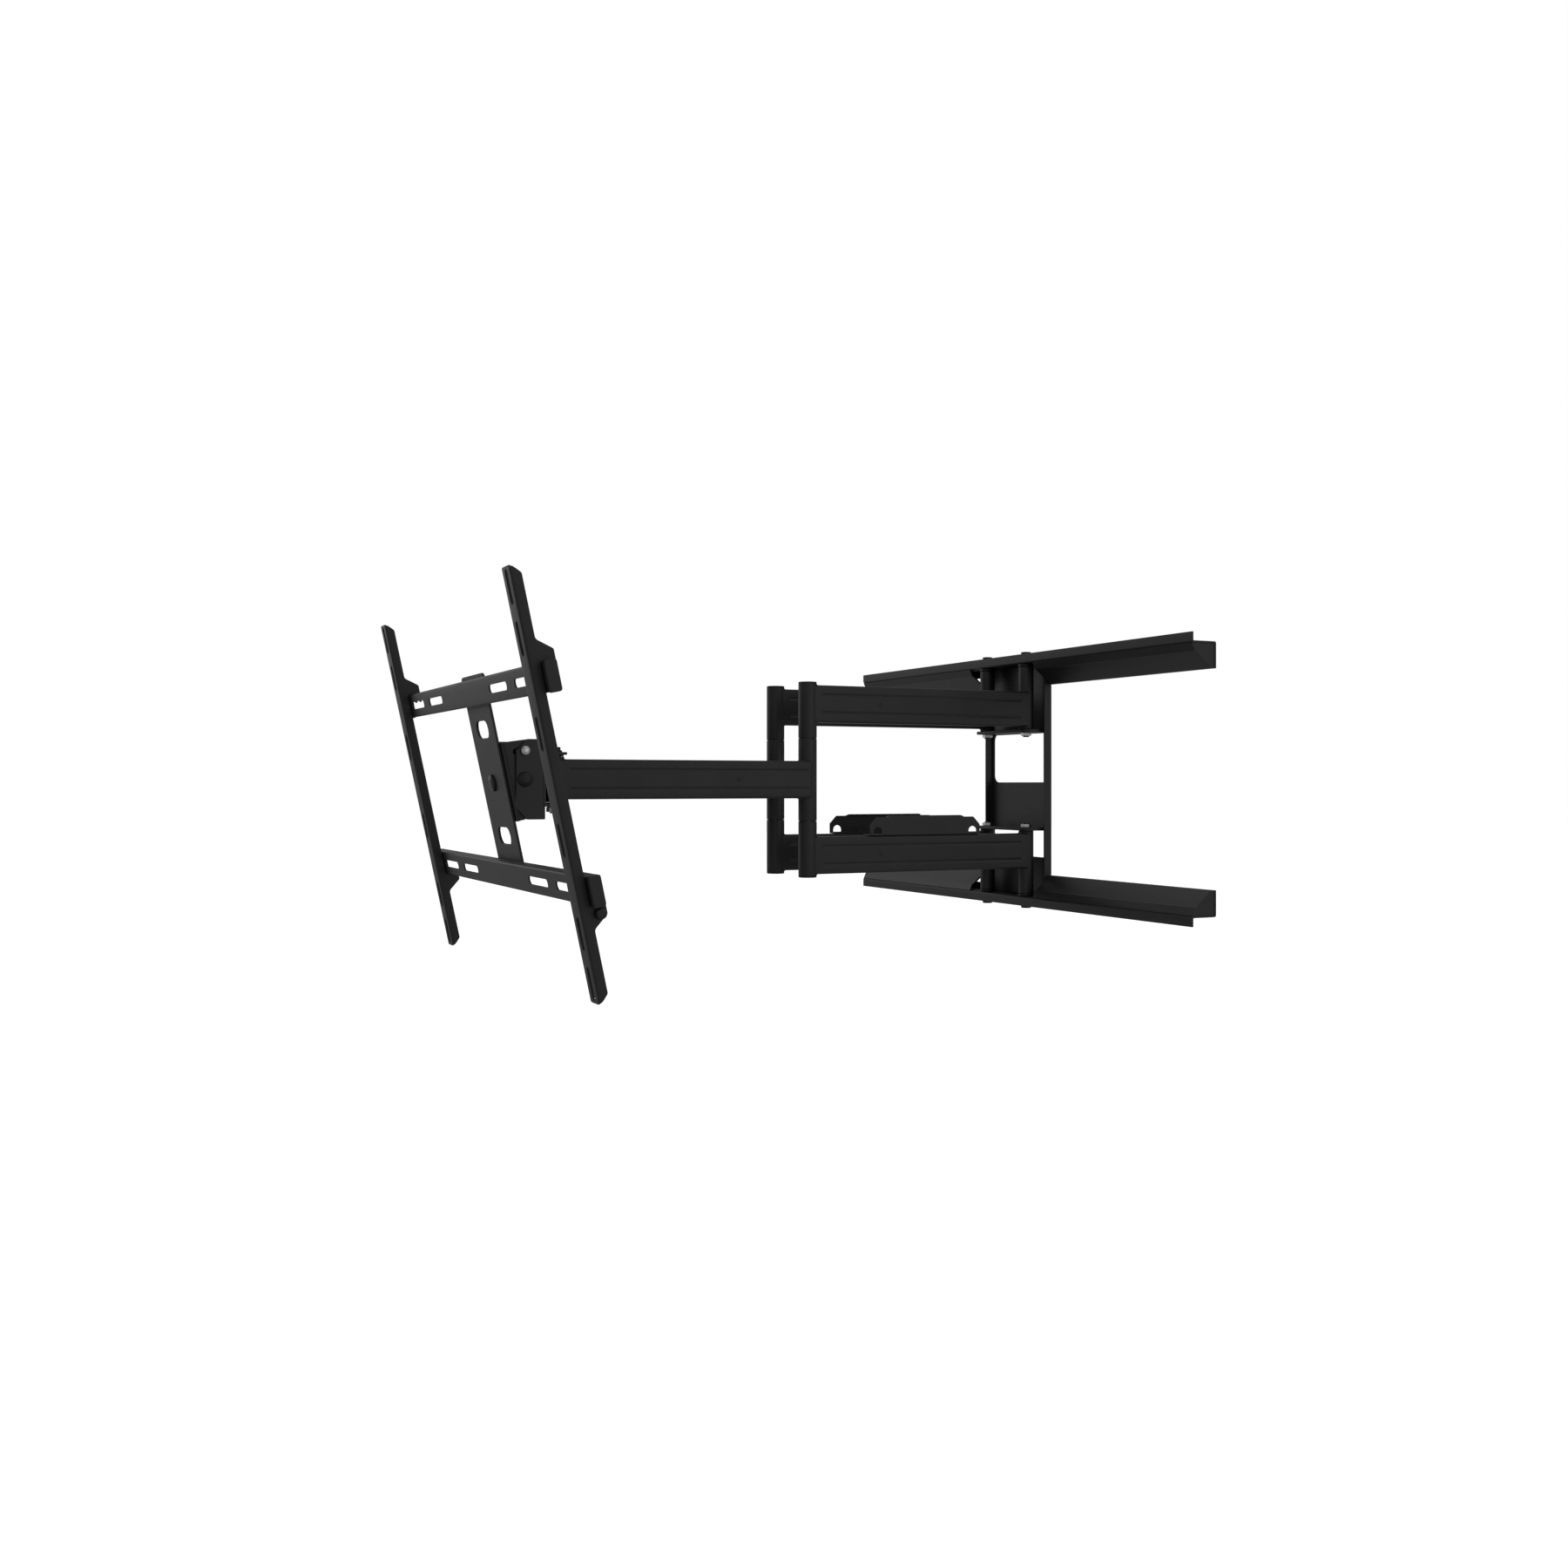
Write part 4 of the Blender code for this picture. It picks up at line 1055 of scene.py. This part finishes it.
def screen_bracket(side_name, side):
    """Upright channel that hooks over the crossbars, with screw slots and a lock screw below."""
    half = 0.014
    sheet = 0.002
    face = -SCREEN_OUT
    edge = face + sheet
    rear = -(CROSSBAR_OUT + CROSSBAR_DEPTH + 0.0006)
    over = CROSSBAR[1] + GAP
    behind = GAP - CROSSBAR_OUT
    tip = behind + 0.003
    channel = [
        (half, tip, 0),
        (half, face, BEND),
        (-half, face, BEND),
        (-half, tip, 0),
        (sheet - half, tip, 0),
        (sheet - half, edge, FOLD),
        (half - sheet, edge, FOLD),
        (half - sheet, tip, 0),
    ]
    outline = [
        (face - PAST, -BRACKET_HALF, 0),
        (edge, -BRACKET_HALF, 0),
        (rear, 0.009 - BRACKET_HALF, 0.004),
        (rear, -over - 0.022, 0.005),
        (tip, -over - 0.010, 0.003),
        (tip, -over, 0.0008),
        (rear, -over, 0.0008),
        (rear, over, 0.0008),
        (behind, over, 0.0008),
        (behind, over - 0.012, 0.0008),
        (tip, over - 0.012, 0.0012),
        (tip, over + 0.010, 0.003),
        (rear, over + 0.022, 0.005),
        (rear, BRACKET_HALF - 0.009, 0.004),
        (edge, BRACKET_HALF, 0),
        (face - PAST, BRACKET_HALF, 0),
    ]
    front_outline = box_outline((-half - 0.0001, half + 0.0001), (-BRACKET_HALF, BRACKET_HALF), 0.005)
    keeps = [
        prism(rounded_corners(outline, 0), (-half - PAST, half + PAST), "X"),
        prism(front_outline, (-0.06, 0.01), "Y"),
    ]
    through = (face - PAST, edge + PAST)
    wide, tall = SCREEN_SLOT
    cuts = [prism(slot_outline(about(0, wide), about(z, tall)), through, "Y") for z in SCREEN_SLOTS]
    bar = prism(rounded_corners(channel, 0), (-BRACKET_HALF, BRACKET_HALF))
    mesh = parted(carved([bar], [joined(cuts)], keeps), "Z", SCREEN_SLOTS)
    place = TILTED @ at(side * BRACKET_X, 0, 0)
    stand_for(f"{side_name}_screen_bracket", mesh, place)
    knob = [
        (0, 0, 0),
        (0.0030, 0, 0),
        (0.0030, 0.001, 0),
        (0.0058, 0.001, 0.0005),
        (0.0054, 0.0075, 0.0012),
        (0, 0.0075, 0),
    ]
    flutes = []
    for centre in circle(0.0062, sides=14):
        flutes.append(prism(circle(0.0010, centre, 10), (0.0005, 0.009)))
    turn = outward(side)
    mesh = carved([revolved(rounded_corners(knob, 0))], [joined(flutes)])
    mesh = placed(mesh, turn, place @ at(side * half, (rear + tip) / 2, -over - 0.0075))
    add_piece(f"{side_name}_lock_knob", mesh, f"{side_name}_bracket", "black_plastic", edge=0.0002)


# Build


for level_label, level_sign in LEVELS:
    wall_rail(f"{level_label}_wall_rail", level_sign)
    refined(f"{level_label}_hinge_ear", edge=0.0005)
    for side_label, side_sign in SIDES:
        rail_cover(f"{side_label}_{level_label}_rail_cover", side_sign, level_sign)
        rear_arm(f"{side_label}_{level_label}_rear_arm", side_sign, level_sign)
centre_plate()
wall_hinges()
head_yoke()
head_hinges()
tilt_bracket()
refined("level_plate", edge=0.0005)
level_rivet()
for level_label, level_sign in LEVELS:
    crossbar(f"{level_label}_crossbar", level_sign)
for side_label, side_sign in SIDES:
    forearm(f"{side_label}_forearm", side_sign)
    elbow(side_label, side_sign)
    cable_guard(f"{side_label}_cable_guard", side_sign)
    screen_bracket(side_label, side_sign)
welds()
small_parts()


# Stage, light and camera


def area_light(name, place, target, width, height, power):
    lamp = bpy.data.lights.new(name, "AREA")
    lamp.shape = "RECTANGLE"
    lamp.size = width
    lamp.size_y = height
    lamp.energy = power
    holder = linked(name, lamp)
    holder.location = place
    holder.rotation_euler = (Vector(target) - Vector(place)).to_track_quat("-Z", "Y").to_euler()
    return holder


def floor():
    half = 40.0
    height = -1.4
    mesh = bpy.data.meshes.new("floor")
    corners = [(-half, -half, height), (half, -half, height), (half, half, height), (-half, half, height)]
    mesh.from_pydata(corners, [], [(0, 1, 2, 3)])
    material, nodes, links, shader = new_material("pale_floor")
    shader.inputs["Base Color"].default_value = (0.85, 0.85, 0.85, 1)
    shader.inputs["Roughness"].default_value = 0.9
    shader.inputs["Emission Color"].default_value = (1, 1, 1, 1)
    shader.inputs["Emission Strength"].default_value = 0.75
    mesh.materials.append(material)
    plane = linked("floor", mesh)
    plane.visible_glossy = False
    plane.visible_diffuse = False


def world(above, below):
    """White to the camera; to the object, a soft studio that is brighter above than below."""
    sky = bpy.data.worlds.new("studio")
    bpy.context.scene.world = sky
    sky.use_nodes = True
    nodes = sky.node_tree.nodes
    links = sky.node_tree.links
    background = nodes["Background"]
    background.inputs["Color"].default_value = (1, 1, 1, 1)
    coordinates = nodes.new("ShaderNodeTexCoord")
    parts = nodes.new("ShaderNodeSeparateXYZ")
    front = nodes.new("ShaderNodeMapRange")
    front.interpolation_type = "SMOOTHSTEP"
    front.inputs["From Min"].default_value = -1.0
    front.inputs["From Max"].default_value = -0.6
    front.inputs["To Min"].default_value = 0.75
    front.inputs["To Max"].default_value = 1.0
    product = nodes.new("ShaderNodeMath")
    product.operation = "MULTIPLY"
    strength = nodes.new("ShaderNodeMapRange")
    strength.inputs["From Min"].default_value = -0.6
    strength.inputs["From Max"].default_value = 0.8
    strength.inputs["To Min"].default_value = below
    strength.inputs["To Max"].default_value = above
    links.new(coordinates.outputs["Generated"], parts.inputs["Vector"])
    links.new(parts.outputs["Z"], strength.inputs["Value"])
    links.new(parts.outputs["Y"], front.inputs["Value"])
    links.new(strength.outputs["Result"], product.inputs[0])
    links.new(front.outputs["Result"], product.inputs[1])
    links.new(product.outputs["Value"], background.inputs["Strength"])
    seen = nodes.new("ShaderNodeBackground")
    seen.inputs["Color"].default_value = (1, 1, 1, 1)
    seen.inputs["Strength"].default_value = 1.0
    path = nodes.new("ShaderNodeLightPath")
    mix = nodes.new("ShaderNodeMixShader")
    links.new(path.outputs["Is Camera Ray"], mix.inputs["Fac"])
    links.new(background.outputs["Background"], mix.inputs[1])
    links.new(seen.outputs["Background"], mix.inputs[2])
    links.new(mix.outputs["Shader"], nodes["World Output"].inputs["Surface"])


def camera():
    eye = bpy.data.cameras.new("camera")
    eye.lens = 35
    eye.sensor_width = 36
    eye.clip_end = 200
    holder = linked("camera", eye)
    holder.location = (1.7194, -1.1771, 0.0287)
    holder.rotation_euler = (math.radians(90), 0, math.radians(64.46))
    bpy.context.scene.camera = holder


world(0.48, 0.30)
floor()
camera()
area_light("side", (2.4, 0.6, 0.5), (0, -0.3, 0), 1.8, 1.8, 4.5)
area_light("left", (-2.4, -1.5, 0.8), (0, -0.2, 0), 1.4, 1.4, 4)
bpy.context.scene.view_settings.view_transform = "Standard"
